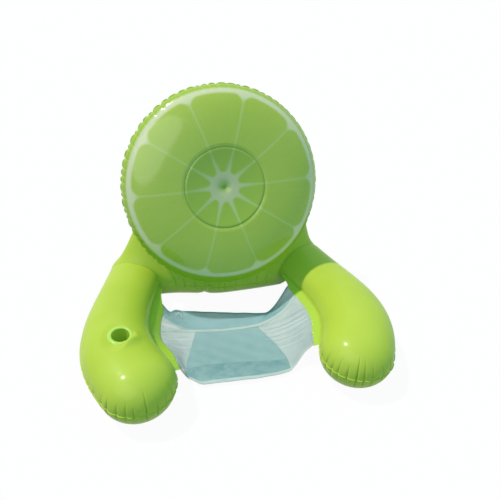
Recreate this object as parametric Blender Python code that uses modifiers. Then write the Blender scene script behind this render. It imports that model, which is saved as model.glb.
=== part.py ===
"""Inflatable pool chair: a round citrus-slice backrest in a horned cradle, two arms and a mesh seat.

The chair is vinyl film, cut flat, welded at the seams and blown up. Each film panel is a thin shell
that meets its neighbours in a flat seam allowance. The chair stands on z = 0 and faces -Y.
"""

import math

import bmesh
import bpy
import numpy as np
from mathutils import Matrix, Vector

COLLECTION_NAME = "inflatable_pool_chair"
CUTTER_COLLECTION_NAME = "chair_cutters"

# Sheet stock and the fits between sheets
FILM = 0.0005
MESH_CLOTH = 0.0007
WEBBING = 0.0009
GAP = 0.0003
SEAM = 0.007
CUT_OVERRUN = 0.004

# Backrest: a reclined round cushion with a ring weld round its dished middle
BACKREST_RADIUS = 0.401
BACKREST_CENTER_Y = 0.205
BACKREST_CENTER_Z = 0.524
BACKREST_RECLINE = math.radians(25.8)
BACKREST_CROWN = 0.080
BACKREST_LAND_SAG = 0.0016
RING_WELD_RADIUS = 0.162
DISH_DEPTH = 0.016
CROWN_POWER_SHARE = 2.3
VENT_RADIUS = 0.012
VENT_COUNT = 4

# Arms: half widths of the tube at the four points that steer its centre line in plan
ARM_REAR_X, ARM_REAR_Y, ARM_REAR_RADIUS = 0.374, 0.170, 0.112
ARM_HIP_X, ARM_HIP_Y, ARM_HIP_RADIUS = 0.480, -0.077, 0.105
ARM_ELBOW_X, ARM_ELBOW_Y, ARM_ELBOW_RADIUS = 0.523, -0.234, 0.1525
ARM_TIP_X, ARM_TIP_Y, ARM_TIP_RADIUS = 0.422, -0.425, 0.145
ARM_HEIGHT_SHARE = 0.815
ARM_CAP_SHARE = 0.93
FOOT_SHARE = 1.06
BULKHEAD_VENT_RADIUS = 0.015

# Cradle behind and below the backrest, which joins the arms
CRADLE_FRONT_Y = 0.092
CRADLE_REAR_Y = 0.325
CRADLE_CORNER_X, CRADLE_CORNER_Y = 0.465, 0.315
CRADLE_TURN_X, CRADLE_TURN_Y = 0.340, 0.338
CRADLE_CREASE_X, CRADLE_CREASE_Y = 0.225, 0.100
CRADLE_SWELL = 0.110
HORN_RISE = 0.215
HORN_PLACE_SHARE = 0.27
HORN_WIDTH_SHARE = 0.10
HORN_SHARPNESS_SHARE = 6.0
SWELL_SHARPNESS_SHARE = 1.5
HORN_LEAN_Y = 0.070
HORN_LEAN_X = -0.040
CRADLE_PRESS = 0.0006

# Cup holder let into the arm at -X
CUP_X, CUP_Y = -0.463, -0.268
CUP_RADIUS = 0.033
CUP_FLOOR_RADIUS = 0.030
CUP_DEPTH = 0.095
CUP_RIM_RADIUS = 0.048
CUP_RIM_HEIGHT = 0.0045
CUP_FLANGE = 0.010
CUP_LAND_RADIUS = 0.105
CUP_LAND_SINK = 0.011
CUP_TURN_DOWN = 0.008

# Seat: a mesh sling between two film strips on the arms' inner seams
STRIP_WIDTH = 0.045
STRIP_DROP = 0.012
STRIP_GROWTH_SHARE = 0.15
STRIP_START_SHARE = 0.03
SEAT_CLEARANCE = 0.006
SEAT_FRONT_RISE = 0.012
SEAT_REAR_BOW = -0.015
SEAT_FRONT_BOW = -0.035
SEAT_SHIFT_X = -0.018
SEAT_SKEW_SHARE = 0.10
SEAT_RISE_POWER_SHARE = 1.5
SEAT_LAP = 0.008
BAND_DEPTH_SHARE = 0.27
CREASE_SHARE = 0.76
CENTER_WIDTH_SHARES = (0.46, 0.70, 0.72)
BINDING = 0.009
BINDING_INSET = 0.003
TAB_WIDTH, TAB_DEPTH = 0.020, 0.012
TAB_INSET = 0.003

# Push-in air valves, one on the backrest and one on the cradle
VALVE_FLANGE_RADIUS = 0.020
STEM_RADIUS = 0.008
STEM_BORE = 0.0055
STEM_LENGTH = 0.020
STEM_PROUD = 0.0015
STEM_CLEARANCE = 0.0005
FILM_HOLE_CLEARANCE = 0.0010
PLUG_RADIUS = 0.0078
PLUG_HEAD = 0.0018
PLUG_SHANK_RADIUS = 0.0043
PLUG_SHANK = 0.003
STRAP_WIDTH = 0.004
HINGE_REACH = 0.0095
FLAP_RADIUS = 0.0068
FLAP_THICKNESS = 0.0006
VALVE_LAND_ANGLE = math.radians(48.0)
VALVE_LAND_DEPTH = 0.0060
VALVE_LAND_REACH = 0.080
BACKREST_VALVE_RADIUS = 0.215
BACKREST_VALVE_ANGLE = math.radians(-165.0)

# Facets
BACKREST_STEPS = 44
CROWN_STEPS = 8
ARM_STATIONS = 12
ARM_CAP_STATIONS = 7
CRADLE_STATIONS = 15
CRADLE_ROWS = 13
TOP_ROWS = 7
SEAT_STATIONS = 7
CENTER_COLUMNS = 7
SIDE_COLUMNS = 4
SMALL_STEPS = 24
WELD_DISTANCE = 0.00001
MERGE_DISTANCE = 0.00005

SEAM_FACE = FILM + GAP / 2
RING_GAP = FILM / 2 + GAP


def srgb(red, green, blue):
    """The linear colour of an 8-bit screen colour."""
    linear = [((c / 255 + 0.055) / 1.055) ** 2.4 for c in (red, green, blue)]
    return (*linear, 1.0)


def make_material(name, color, roughness, alpha=1.0):
    material = bpy.data.materials.new(name)
    material.use_nodes = True
    shader = material.node_tree.nodes["Principled BSDF"]
    shader.inputs["Base Color"].default_value = color
    shader.inputs["Roughness"].default_value = roughness
    shader.inputs["Metallic"].default_value = 0.0
    shader.inputs["Alpha"].default_value = alpha
    return material


def make_collection(name):
    collection = bpy.data.collections.new(name)
    bpy.context.scene.collection.children.link(collection)
    return collection


def clear_scene():
    for old in list(bpy.data.objects):
        bpy.data.objects.remove(old, do_unlink=True)


def add_object(name, data, material, collection, parent):
    piece = bpy.data.objects.new(name, data)
    collection.objects.link(piece)
    if material is not None:
        piece.data.materials.append(material)
    piece.parent = parent
    return piece


def shade_round(piece, angle=math.radians(35.0)):
    piece.data.shade_smooth()
    piece.data.set_sharp_from_angle(angle=angle)


def solidify(piece, thickness):
    modifier = piece.modifiers.new("sheet_thickness", "SOLIDIFY")
    modifier.thickness = thickness
    modifier.offset = -1.0
    return modifier


def screw(piece, steps):
    modifier = piece.modifiers.new("turn", "SCREW")
    modifier.axis = "Z"
    modifier.angle = math.tau
    modifier.steps = steps
    modifier.render_steps = steps
    modifier.use_merge_vertices = True
    modifier.merge_threshold = MERGE_DISTANCE
    return modifier


def cut(piece, cutter):
    modifier = piece.modifiers.new("cut_" + cutter.name, "BOOLEAN")
    modifier.operation = "DIFFERENCE"
    modifier.solver = "EXACT"
    modifier.object = cutter
    return modifier


def make_empty(name, matrix, collection, parent=None):
    empty = bpy.data.objects.new(name, None)
    collection.objects.link(empty)
    empty.parent = parent
    empty.matrix_basis = matrix
    return empty


def grid_mesh(name, points, flip=False):
    """Quads over a (rows, columns, 3) array of points, with coincident points made one."""
    rows, columns = points.shape[:2]
    index = np.arange(rows * columns).reshape(rows, columns)
    corners = [index[:-1, :-1], index[1:, :-1], index[1:, 1:], index[:-1, 1:]]
    if flip:
        corners.reverse()
    quads = np.stack(corners, -1).reshape(-1, 4)
    mesh = bpy.data.meshes.new(name)
    mesh.from_pydata(points.reshape(-1, 3).tolist(), [], quads.tolist())
    editable = bmesh.new()
    editable.from_mesh(mesh)
    bmesh.ops.remove_doubles(editable, verts=editable.verts, dist=WELD_DISTANCE)
    bmesh.ops.dissolve_degenerate(editable, edges=editable.edges, dist=WELD_DISTANCE)
    editable.to_mesh(mesh)
    editable.free()
    return mesh


def sheet(name, points, thickness, material, collection, parent, flip=False):
    """A sheet whose outer face runs through the grid of points."""
    piece = add_object(name, grid_mesh(name, points, flip), material, collection, parent)
    solidify(piece, thickness)
    shade_round(piece)
    return piece


def turned(name, profile, steps, material, collection, parent, thickness=None):
    """A profile of (radius, height) points turned round Z, solid or as a sheet of some thickness."""
    mesh = bpy.data.meshes.new(name)
    closed = thickness is None
    count = len(profile)
    edges = [(i, (i + 1) % count) for i in range(count if closed else count - 1)]
    mesh.from_pydata([(r, 0.0, z) for r, z in profile], edges, [])
    piece = add_object(name, mesh, material, collection, parent)
    screw(piece, steps)
    if not closed:
        solidify(piece, thickness)
    return piece


def cylinder_cutter(name, radius, collection, parent, matrix, steps=SMALL_STEPS):
    mesh = bpy.data.meshes.new(name)
    editable = bmesh.new()
    bmesh.ops.create_cone(
        editable,
        cap_ends=True,
        segments=steps,
        radius1=radius,
        radius2=radius,
        depth=2 * CUT_OVERRUN,
    )
    editable.to_mesh(mesh)
    editable.free()
    cutter = add_object(name, mesh, None, collection, parent)
    cutter.matrix_basis = matrix
    cutter.hide_render = True
    cutter.display_type = "WIRE"
    return cutter


def bezier(points, share):
    """A cubic curve through the first and last of four points, for an array of shares from 0 to 1."""
    t = np.asarray(share)[:, None]
    p = np.asarray(points, float).reshape(4, -1)
    weights = (1 - t) ** 3, 3 * t * (1 - t) ** 2, 3 * t * t * (1 - t), t**3
    return sum(w * q for w, q in zip(weights, p))


def bezier_direction(points, share):
    t = np.asarray(share)[:, None]
    p = np.asarray(points, float).reshape(4, -1)
    weights = (1 - t) ** 2, 2 * t * (1 - t), t * t
    slope = sum(w * q for w, q in zip(weights, p[1:] - p[:-1]))
    return slope / np.linalg.norm(slope, axis=1)[:, None]


# Backrest


def backrest_matrix():
    """Z is the backrest's face direction and Y runs up its slope."""
    turn = Matrix.Rotation(math.pi / 2 - BACKREST_RECLINE, 4, "X")
    return Matrix.Translation((0.0, BACKREST_CENTER_Y, BACKREST_CENTER_Z)) @ turn


def crown_height(radius):
    """Half thickness of the blown cushion: a superellipse from the ring weld out to the seam."""
    share = (np.asarray(radius) - RING_WELD_RADIUS) / (BACKREST_RADIUS - RING_WELD_RADIUS)
    share = np.clip(share, 0.0, 1.0)
    return BACKREST_CROWN * np.sqrt(1 - share**CROWN_POWER_SHARE)


def backrest_profile():
    """(radius, height) points of one face, from its middle out to the edge of the seam allowance."""
    dish_radii = RING_WELD_RADIUS * np.array([0.0, 0.5, 1.0])
    dish = [(r, BACKREST_CROWN - DISH_DEPTH * (1 - (r / RING_WELD_RADIUS) ** 2)) for r in dish_radii]
    angles = np.linspace(0.0, math.pi / 2, CROWN_STEPS + 1)[1:]
    span = BACKREST_RADIUS - RING_WELD_RADIUS
    radii = RING_WELD_RADIUS + span * np.sin(angles) ** (2 / CROWN_POWER_SHARE)
    crown = [(r, max(float(crown_height(r)), 0.0) + SEAM_FACE) for r in radii]
    return dish + crown + [(BACKREST_RADIUS + SEAM, SEAM_FACE)]


def backrest_land_height():
    """The back's flat valve land lies this far behind the seam."""
    return float(crown_height(BACKREST_VALVE_RADIUS)) + SEAM_FACE - BACKREST_LAND_SAG


def valve_on_backrest():
    place = Matrix.Rotation(BACKREST_VALVE_ANGLE, 4, "Z") @ Matrix.Translation(
        (BACKREST_VALVE_RADIUS, 0.0, -backrest_land_height())
    )
    return backrest_matrix() @ place @ Matrix.Rotation(math.pi, 4, "X")


def make_backrest(materials, parts, cutters, chair):
    frame = make_empty("backrest_frame", backrest_matrix(), parts, chair)
    profile = backrest_profile()
    turned("backrest_front_panel", profile, BACKREST_STEPS, materials["print"], parts, frame, FILM)
    back_profile = [(r, -min(z, backrest_land_height())) for r, z in reversed(profile)]
    back = turned(
        "backrest_back_panel", back_profile, BACKREST_STEPS, materials["lime"], parts, frame, FILM
    )
    cutter = cylinder_cutter(
        "backrest_valve_hole",
        STEM_RADIUS + FILM_HOLE_CLEARANCE,
        cutters,
        chair,
        valve_on_backrest(),
    )
    cut(back, cutter)
    low = -min(profile[2][1], backrest_land_height()) + FILM + GAP
    high = profile[2][1] - FILM - GAP
    wall = [(RING_WELD_RADIUS, high), (RING_WELD_RADIUS, low)]
    baffle = turned(
        "backrest_ring_baffle", wall, BACKREST_STEPS, materials["lime"], parts, frame, FILM
    )
    for number in range(VENT_COUNT):
        turn = Matrix.Rotation(math.tau * number / VENT_COUNT, 4, "Z")
        reach = Matrix.Translation((RING_WELD_RADIUS, 0.0, (high + low) / 2))
        lie = Matrix.Rotation(math.pi / 2, 4, "Y")
        vent = cylinder_cutter(
            f"baffle_vent_{number + 1}",
            VENT_RADIUS,
            cutters,
            frame,
            turn @ reach @ lie,
            SMALL_STEPS // 2,
        )
        cut(baffle, vent)


def backrest_rear():
    """How far back the blown backrest reaches."""
    lean = math.sin(BACKREST_RECLINE)
    face = math.cos(BACKREST_RECLINE)
    return BACKREST_CENTER_Y + max(r * lean + z * face for r, z in backrest_profile())


def outside_backrest(points, clearance):
    """Points pushed back along the backrest's axis until they clear its rear face."""
    world = np.array(backrest_matrix())
    local = (points - world[:3, 3]) @ world[:3, :3]
    radius = np.hypot(local[..., 0], local[..., 1])
    inside = radius < BACKREST_RADIUS + SEAM + clearance
    depth = crown_height(radius - clearance) + SEAM_FACE + clearance
    local[..., 2] = np.where(inside, np.minimum(local[..., 2], -depth), local[..., 2])
    return local @ world[:3, :3].T + world[:3, 3]


# Arms


ARM_POINTS = (
    (ARM_REAR_X, ARM_REAR_Y),
    (ARM_HIP_X, ARM_HIP_Y),
    (ARM_ELBOW_X, ARM_ELBOW_Y),
    (ARM_TIP_X, ARM_TIP_Y),
)
ARM_RADII = (ARM_REAR_RADIUS, ARM_HIP_RADIUS, ARM_ELBOW_RADIUS, ARM_TIP_RADIUS)


def arm_line(share):
    """Centre, forward direction, outward direction and half width of the arm at +X, in plan."""
    center = bezier(ARM_POINTS, share)
    forward = bezier_direction(ARM_POINTS, share)
    outward = np.stack([-forward[:, 1], forward[:, 0]], -1)
    radius = bezier(ARM_RADII, share)[:, 0]
    return center, forward, outward, radius


def seam_height(radius):
    """Height of the side seam over the floor, from the tube's half width."""
    return radius * ARM_HEIGHT_SHARE


def arm_ribs():
    """Centres, reach to the seam and half widths, from the inner rear round the tip to the outer rear."""
    share = np.linspace(0.0, 1.0, ARM_STATIONS)
    center, forward, outward, radius = arm_line(share)
    center[0] += forward[0] * RING_GAP
    turn = np.linspace(0.0, math.pi, ARM_CAP_STATIONS + 2)[1:-1, None]
    cap = -outward[-1] * np.cos(turn) + forward[-1] * np.sin(turn) * ARM_CAP_SHARE
    reach = outward * radius[:, None]
    centers = np.concatenate([center, np.repeat(center[-1:], len(cap), 0), center[::-1]])
    reaches = np.concatenate([-reach, cap * radius[-1], reach[::-1]])
    radii = np.concatenate([radius, np.full(len(cap), radius[-1]), radius[::-1]])
    return centers, reaches, radii


def cup_land_height():
    """Height of the flat land under the cup holder's rim."""
    share = np.linspace(0.0, 1.0, 10 * ARM_STATIONS)
    center, _, _, radius = arm_line(share)
    nearest = np.hypot(center[:, 0] + CUP_X, center[:, 1] - CUP_Y).argmin()
    return float(2 * seam_height(radius[nearest]) + SEAM_FACE - CUP_LAND_SINK)


def arm_panel(side, upper):
    """Grid of one arm panel's outer face: seam allowance, then up or down to the centre line."""
    centers, reaches, radii = arm_ribs()
    heights = seam_height(radii)
    if upper:
        angles = np.linspace(0.0, math.pi / 2, TOP_ROWS)
    else:
        foot = math.asin(1 / FOOT_SHARE)
        angles = np.array([*np.linspace(0.0, foot, TOP_ROWS - 2), (foot + math.pi / 2) / 2, math.pi / 2])
    outline = reaches / np.linalg.norm(reaches, axis=1)[:, None]
    edge = centers + reaches + outline * SEAM
    plan = centers[:, None] + reaches[:, None] * np.cos(angles)[:, None]
    if upper:
        rise = heights[:, None] * (1 + np.sin(angles)) + SEAM_FACE
        rim = heights + SEAM_FACE
    else:
        rise = np.maximum(heights[:, None] * (1 - FOOT_SHARE * np.sin(angles)) - SEAM_FACE, 0.0)
        rim = heights - SEAM_FACE
    body = np.concatenate([plan, rise[..., None]], -1)
    flange = np.concatenate([edge, rim[:, None]], -1)[:, None]
    grid = np.concatenate([flange, body], 1)
    grid[..., 0] *= side
    return grid


def arm_front():
    """How far forward the arms' seam allowance reaches."""
    centers, reaches, _ = arm_ribs()
    outline = reaches / np.linalg.norm(reaches, axis=1)[:, None]
    return float((centers + reaches + outline * SEAM)[:, 1].min())


def make_arms(materials, parts, cutters, chair):
    land = cup_land_height()
    for side, name in ((-1, "left"), (1, "right")):
        top = arm_panel(side, upper=True)
        if side < 0:
            near = np.hypot(top[..., 0] - CUP_X, top[..., 1] - CUP_Y) < CUP_LAND_RADIUS
            top[..., 2] = np.where(near, np.minimum(top[..., 2], land), top[..., 2])
        film = materials["lime"]
        panel = sheet(f"{name}_arm_top_panel", top, FILM, film, parts, chair, side < 0)
        bottom = arm_panel(side, upper=False)
        sheet(f"{name}_arm_bottom_panel", bottom, FILM, film, parts, chair, side > 0)
        if side < 0:
            place = Matrix.Translation((CUP_X, CUP_Y, land))
            hole = CUP_RADIUS + FILM_HOLE_CLEARANCE
            cut(panel, cylinder_cutter("cup_hole", hole, cutters, chair, place))
        make_bulkhead(side, name, film, parts, chair)


def make_bulkhead(side, name, film, parts, chair):
    """The web between the arm's air and the cradle's, with a vent hole in it."""
    center, forward, _, radius = arm_line([0.0])
    height = seam_height(radius[0])
    curve = bpy.data.curves.new(f"{name}_arm_bulkhead", "CURVE")
    curve.dimensions = "2D"
    curve.fill_mode = "BOTH"
    curve.extrude = FILM / 2
    for across, up in ((radius[0] - GAP, height - GAP), (BULKHEAD_VENT_RADIUS, BULKHEAD_VENT_RADIUS)):
        turn = np.linspace(0.0, math.tau, SMALL_STEPS, endpoint=False)
        spline = curve.splines.new("POLY")
        spline.points.add(len(turn) - 1)
        for point, angle in zip(spline.points, turn):
            point.co = (across * math.cos(angle), up * math.sin(angle), 0.0, 1.0)
        spline.use_cyclic_u = True
    bulkhead = add_object(f"{name}_arm_bulkhead", curve, film, parts, chair)
    heading = math.atan2(forward[0, 1], side * forward[0, 0])
    stand = Matrix.Rotation(heading + math.pi / 2, 4, "Z") @ Matrix.Rotation(math.pi / 2, 4, "X")
    place = Matrix.Translation((side * center[0, 0], center[0, 1], height))
    bulkhead.matrix_basis = place @ stand


# Cradle


def cradle_lines():
    """Front and rear seam points in plan for the half at +X, from the arm's ring to the middle."""
    center, forward, outward, radius = arm_line([0.0])
    ring = center[0] - forward[0] * RING_GAP
    front_ring = ring - outward[0] * radius[0]
    rear_ring = ring + outward[0] * radius[0]
    share = np.linspace(0.0, 1.0, CRADLE_STATIONS)
    crease = (CRADLE_CREASE_X, CRADLE_CREASE_Y)
    third = (CRADLE_CREASE_X / 2, CRADLE_FRONT_Y)
    front = bezier((front_ring, crease, third, (0.0, CRADLE_FRONT_Y)), share)
    corner = (CRADLE_CORNER_X, CRADLE_CORNER_Y)
    rear_turn = (CRADLE_TURN_X, CRADLE_TURN_Y)
    rear = bezier((rear_ring, corner, rear_turn, (0.0, CRADLE_REAR_Y)), share)
    return share, front, rear


def cradle_rise(share):
    """Two shares along one half of the cradle: of the horn's rise, and of the change to the swell.

    From the arm's ring up to its tip the horn follows 1 / (1 + x * x), and from there to the
    middle its height passes smoothly into that of the swell behind the backrest.
    """
    offset = np.minimum(share - HORN_PLACE_SHARE, 0.0) / HORN_WIDTH_SHARE
    foot = 1 / (1 + (HORN_PLACE_SHARE / HORN_WIDTH_SHARE) ** 2)
    horn = (1 / (1 + offset**2) - foot) / (1 - foot)
    part = np.clip((share - HORN_PLACE_SHARE) / (1 - HORN_PLACE_SHARE), 0.0, 1.0)
    return horn, part**2 * (3 - 2 * part)


def cradle_panel(upper):
    """Grid of the cradle's upper or lower panel across both halves, with its two seam allowances."""
    share, front, rear = cradle_lines()
    seam = seam_height(ARM_REAR_RADIUS)
    middle = (front + rear) / 2
    half = (rear - front) / 2
    if upper:
        angles = np.linspace(0.0, math.pi, CRADLE_ROWS)
    else:
        foot = math.asin(1 / FOOT_SHARE)
        quarter = np.linspace(0.0, foot, TOP_ROWS - 2)
        angles = np.concatenate([quarter, [math.pi / 2], math.pi - quarter[::-1]])
    plan = middle[:, None] - half[:, None] * np.cos(angles)[:, None]
    if upper:
        horn, swell = cradle_rise(share)
        sharpness = HORN_SHARPNESS_SHARE + (SWELL_SHARPNESS_SHARE - HORN_SHARPNESS_SHARE) * swell
        peak = np.sin(angles) ** sharpness[:, None]
        height = HORN_RISE * horn + (CRADLE_SWELL - HORN_RISE) * swell
        rise = seam + seam * np.sin(angles) + height[:, None] * peak + SEAM_FACE
        lean = ((horn - swell)[:, None] * peak)[..., None]
        plan = plan + lean * np.array([HORN_LEAN_X, HORN_LEAN_Y])
    else:
        rise = np.maximum(seam - seam * FOOT_SHARE * np.sin(angles) - SEAM_FACE, 0.0)
        rise = np.repeat(rise[None], len(share), 0)
    body = np.concatenate([plan, rise[..., None]], -1)
    across = half / np.linalg.norm(half, axis=1)[:, None]
    rim = np.full((len(share), 1), seam + (SEAM_FACE if upper else -SEAM_FACE))
    front_edge = np.concatenate([front - across * SEAM, rim], -1)[:, None]
    rear_edge = np.concatenate([rear + across * SEAM, rim], -1)[:, None]
    half_grid = np.concatenate([front_edge, body, rear_edge], 1)
    if upper:
        half_grid[:, 2:-2] = outside_backrest(half_grid[:, 2:-2], CRADLE_PRESS)
    mirrored = half_grid[::-1].copy()
    mirrored[..., 0] *= -1
    grid = np.concatenate([half_grid, mirrored[1:]], 0)
    return flat_valve_land(grid) if upper else grid


def cradle_section():
    """Upper face of the cradle's middle section as (y, z), from the front seam to the rear one."""
    angles = np.linspace(0.0, math.pi, CRADLE_ROWS)
    middle = (CRADLE_REAR_Y + CRADLE_FRONT_Y) / 2
    half = (CRADLE_REAR_Y - CRADLE_FRONT_Y) / 2
    seam = seam_height(ARM_REAR_RADIUS)
    peak = np.sin(angles) ** SWELL_SHARPNESS_SHARE
    height = seam + seam * np.sin(angles) + CRADLE_SWELL * peak + SEAM_FACE
    return np.stack([middle - half * np.cos(angles), height], -1)


def land_plane():
    """Normal of the cradle's valve land, its distance from the origin and its middle."""
    normal = np.array([0.0, math.cos(VALVE_LAND_ANGLE), math.sin(VALVE_LAND_ANGLE)])
    section = cradle_section()
    reach = section @ normal[1:]
    distance = float(reach.max()) - VALVE_LAND_DEPTH
    over = section[reach > distance]
    middle = np.array([0.0, *over.mean(0)])
    return normal, distance, middle - normal * (float(middle @ normal) - distance)


def valve_on_cradle():
    """Z is the land's normal, and the origin is the middle of the land."""
    _, _, middle = land_plane()
    turn = Matrix.Rotation(VALVE_LAND_ANGLE - math.pi / 2, 4, "X")
    return Matrix.Translation(Vector(middle)) @ turn


def flat_valve_land(grid):
    """The rear of the cradle pressed flat round the valve."""
    normal, distance, _ = land_plane()
    over = np.maximum(grid @ normal - distance, 0.0)
    near = np.abs(grid[..., 0]) < VALVE_LAND_REACH
    return grid - (over * near)[..., None] * normal


def make_cradle(materials, parts, cutters, chair):
    film = materials["lime"]
    top = sheet("cradle_top_panel", cradle_panel(True), FILM, film, parts, chair, True)
    hole = STEM_RADIUS + FILM_HOLE_CLEARANCE
    cut(top, cylinder_cutter("cradle_valve_hole", hole, cutters, chair, valve_on_cradle()))
    sheet("cradle_bottom_panel", cradle_panel(False), FILM, film, parts, chair)


# Cup holder


def make_cup_holder(materials, parts, chair):
    place = Matrix.Translation((CUP_X, CUP_Y, cup_land_height()))
    frame = make_empty("cup_holder_frame", place, parts, chair)
    top = GAP + FILM
    wall = [
        (CUP_FLOOR_RADIUS + GAP, top - CUP_DEPTH),
        (CUP_RADIUS, top),
        (CUP_RADIUS + CUP_FLANGE, top),
    ]
    turned("cup_wall", wall, SMALL_STEPS, materials["lime"], parts, frame, FILM)
    floor_height = top - CUP_DEPTH + CUP_TURN_DOWN
    floor = [
        (0.0, floor_height),
        (CUP_FLOOR_RADIUS, floor_height),
        (CUP_FLOOR_RADIUS, floor_height - CUP_TURN_DOWN),
    ]
    turned("cup_floor", floor, SMALL_STEPS, materials["lime"], parts, frame, FILM)
    low = top + GAP
    rim = [
        (CUP_RADIUS, low),
        (CUP_RADIUS + CUP_RIM_HEIGHT / 2, low + CUP_RIM_HEIGHT),
        (CUP_RADIUS + CUP_FLANGE, low + CUP_RIM_HEIGHT),
        (CUP_RIM_RADIUS, low),
    ]
    turned("cup_rim_ring", rim, SMALL_STEPS, materials["clear_lime"], parts, frame)


# Seat


def strip_shares():
    """Shares of the arm's length at the strip's stations, the seat's own stations last."""
    tail = np.linspace(STRIP_START_SHARE, STRIP_GROWTH_SHARE, SIDE_COLUMNS)[:-1]
    return np.concatenate([tail, seat_share(seat_stations())])


def strip_rows(share):
    """Three lines along the strip at +X: by the tube, at the seam allowance's edge and its free edge."""
    center, _, outward, radius = arm_line(share)
    growth = np.clip(share / STRIP_GROWTH_SHARE, 0.0, 1.0) ** 2
    width = 2 * SEAM + (STRIP_WIDTH - 2 * SEAM) * growth
    height = seam_height(radius) - SEAM_FACE - 2 * GAP
    rows = []
    for reach, drop in ((2 * GAP, 0.0), (SEAM, 0.0), (width, STRIP_DROP * growth)):
        plan = center - outward * (radius + reach)[:, None]
        rows.append(np.concatenate([plan, (height - drop)[:, None]], -1))
    return rows


def make_seat_strips(materials, parts, chair):
    """Film strips welded under the arms' inner seam allowance, which the mesh is sewn to."""
    rows = strip_rows(strip_shares())
    rows.insert(2, (rows[1] + rows[2]) / 2)
    for side, name in ((-1, "left"), (1, "right")):
        grid = np.stack(rows, 0)
        grid[..., 0] *= side
        sheet(f"{name}_seat_strip", grid, FILM, materials["lime"], parts, chair, side < 0)


def seat_share(along):
    """Share of the arm's length at a share of the seat's."""
    return STRIP_GROWTH_SHARE + (1 - STRIP_GROWTH_SHARE) * along


def seat_stations():
    """Shares along the seat at every row of the mesh: even steps and both edges of each binding."""
    binding = BINDING / (ARM_REAR_Y - ARM_TIP_Y)
    even = np.linspace(0.0, 1.0, SEAT_STATIONS)
    edges = [binding, BAND_DEPTH_SHARE, BAND_DEPTH_SHARE + binding, CREASE_SHARE, 1 - binding]
    far = np.abs(even[:, None] - np.array(edges)).min(1) > binding
    far[[0, -1]] = True
    return np.sort(np.concatenate([even[far], edges]))


def seat_cloth(inset=0.0):
    """The mesh's upper face over the whole seat, rows from rear to front and columns from -X to +X.

    The first and last columns lie under the strips. The inset narrows both side panels at the
    middle panel, for the gap that the sewn edges keep.
    """
    along = seat_stations()
    _, flat, edge = strip_rows(seat_share(along))
    slope = edge - flat
    length = np.linalg.norm(slope, axis=1)
    level = np.linalg.norm(slope[:, :2], axis=1) / length
    drop = (FILM + GAP) / level
    edge = edge - np.array([0.0, 0.0, 1.0]) * drop[:, None]
    lap = edge - slope / length[:, None] * SEAT_LAP
    middle = np.interp(along, (BAND_DEPTH_SHARE, CREASE_SHARE, 1.0), CENTER_WIDTH_SHARES)[:, None]
    seam = middle + inset / edge[:, :1]
    outer = seam + (1 - seam) * np.linspace(0.0, 1.0, SIDE_COLUMNS)
    inner = middle * np.linspace(-1.0, 1.0, CENTER_COLUMNS)
    columns = [-outer[:, ::-1], inner, outer] if inset else [-outer[:, :0:-1], inner, outer[:, 1:]]
    across = np.concatenate(columns, 1)
    fall = np.clip((np.abs(across) - middle) / (1 - middle), 0.0, 1.0) ** SEAT_RISE_POWER_SHARE
    rise = SEAT_FRONT_RISE * np.clip((along - CREASE_SHARE) / (1 - CREASE_SHARE), 0.0, 1.0)
    low = (SEAT_CLEARANCE + MESH_CLOTH + rise)[:, None]
    inner_part = 1 - across**2
    bow = (SEAT_REAR_BOW + (SEAT_FRONT_BOW - SEAT_REAR_BOW) * along)[:, None]
    x = edge[:, :1] * across + SEAT_SHIFT_X * inner_part
    y = edge[:, 1:2] + (bow - SEAT_SKEW_SHARE * x) * inner_part
    z = low + (edge[:, 2:] - low) * fall
    cloth = np.stack([x, y, z], -1)
    mirror = np.array([-1.0, 1.0, 1.0])
    return np.concatenate([(lap * mirror)[:, None], cloth, lap[:, None]], 1)


def raised(grid, lift):
    """The grid moved along its own upward normals."""
    rows = np.gradient(grid, axis=0)
    columns = np.gradient(grid, axis=1)
    normal = np.cross(rows, columns)
    normal *= np.sign(normal[..., 2:]) / np.linalg.norm(normal, axis=-1)[..., None]
    return grid + normal * lift


def make_seat(materials, parts, chair):
    cloth = seat_cloth()
    along = seat_stations()
    last_band_row = int(np.searchsorted(along, BAND_DEPTH_SHARE))
    side = SIDE_COLUMNS
    step = GAP / np.linalg.norm(cloth[last_band_row + 1] - cloth[last_band_row], axis=1)
    band = cloth[: last_band_row + 1].copy()
    front = cloth[last_band_row:]
    band[-1] += (cloth[last_band_row - 1] - band[-1]) * step[:, None]
    sheet("seat_rear_band", band, MESH_CLOTH, materials["teal"], parts, chair)
    center = front[:, side : side + CENTER_COLUMNS]
    sheet("seat_center_panel", center, MESH_CLOTH, materials["aqua"], parts, chair)
    inset = seat_cloth(GAP + MESH_CLOTH)[last_band_row:]
    left = inset[:, : side + 1]
    right = inset[:, -side - 1 :]
    sheet("seat_left_panel", left, MESH_CLOTH, materials["white"], parts, chair)
    sheet("seat_right_panel", right, MESH_CLOTH, materials["white"], parts, chair)
    strips = (
        ("seat_rear_binding", 0),
        ("seat_cross_binding", last_band_row),
        ("seat_front_binding", len(along) - 2),
    )
    for name, row in strips:
        binding = cloth[row : row + 2, 1:-1].copy()
        for end, inner in ((0, 1), (-1, -2)):
            reach = binding[:, inner] - binding[:, end]
            binding[:, end] += reach * (BINDING_INSET / np.linalg.norm(reach, axis=1)[:, None])
        top = raised(binding, WEBBING + GAP)
        sheet(name, top, WEBBING, materials["white"], parts, chair)
    make_tab(cloth, materials["white"], parts, chair)


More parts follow.
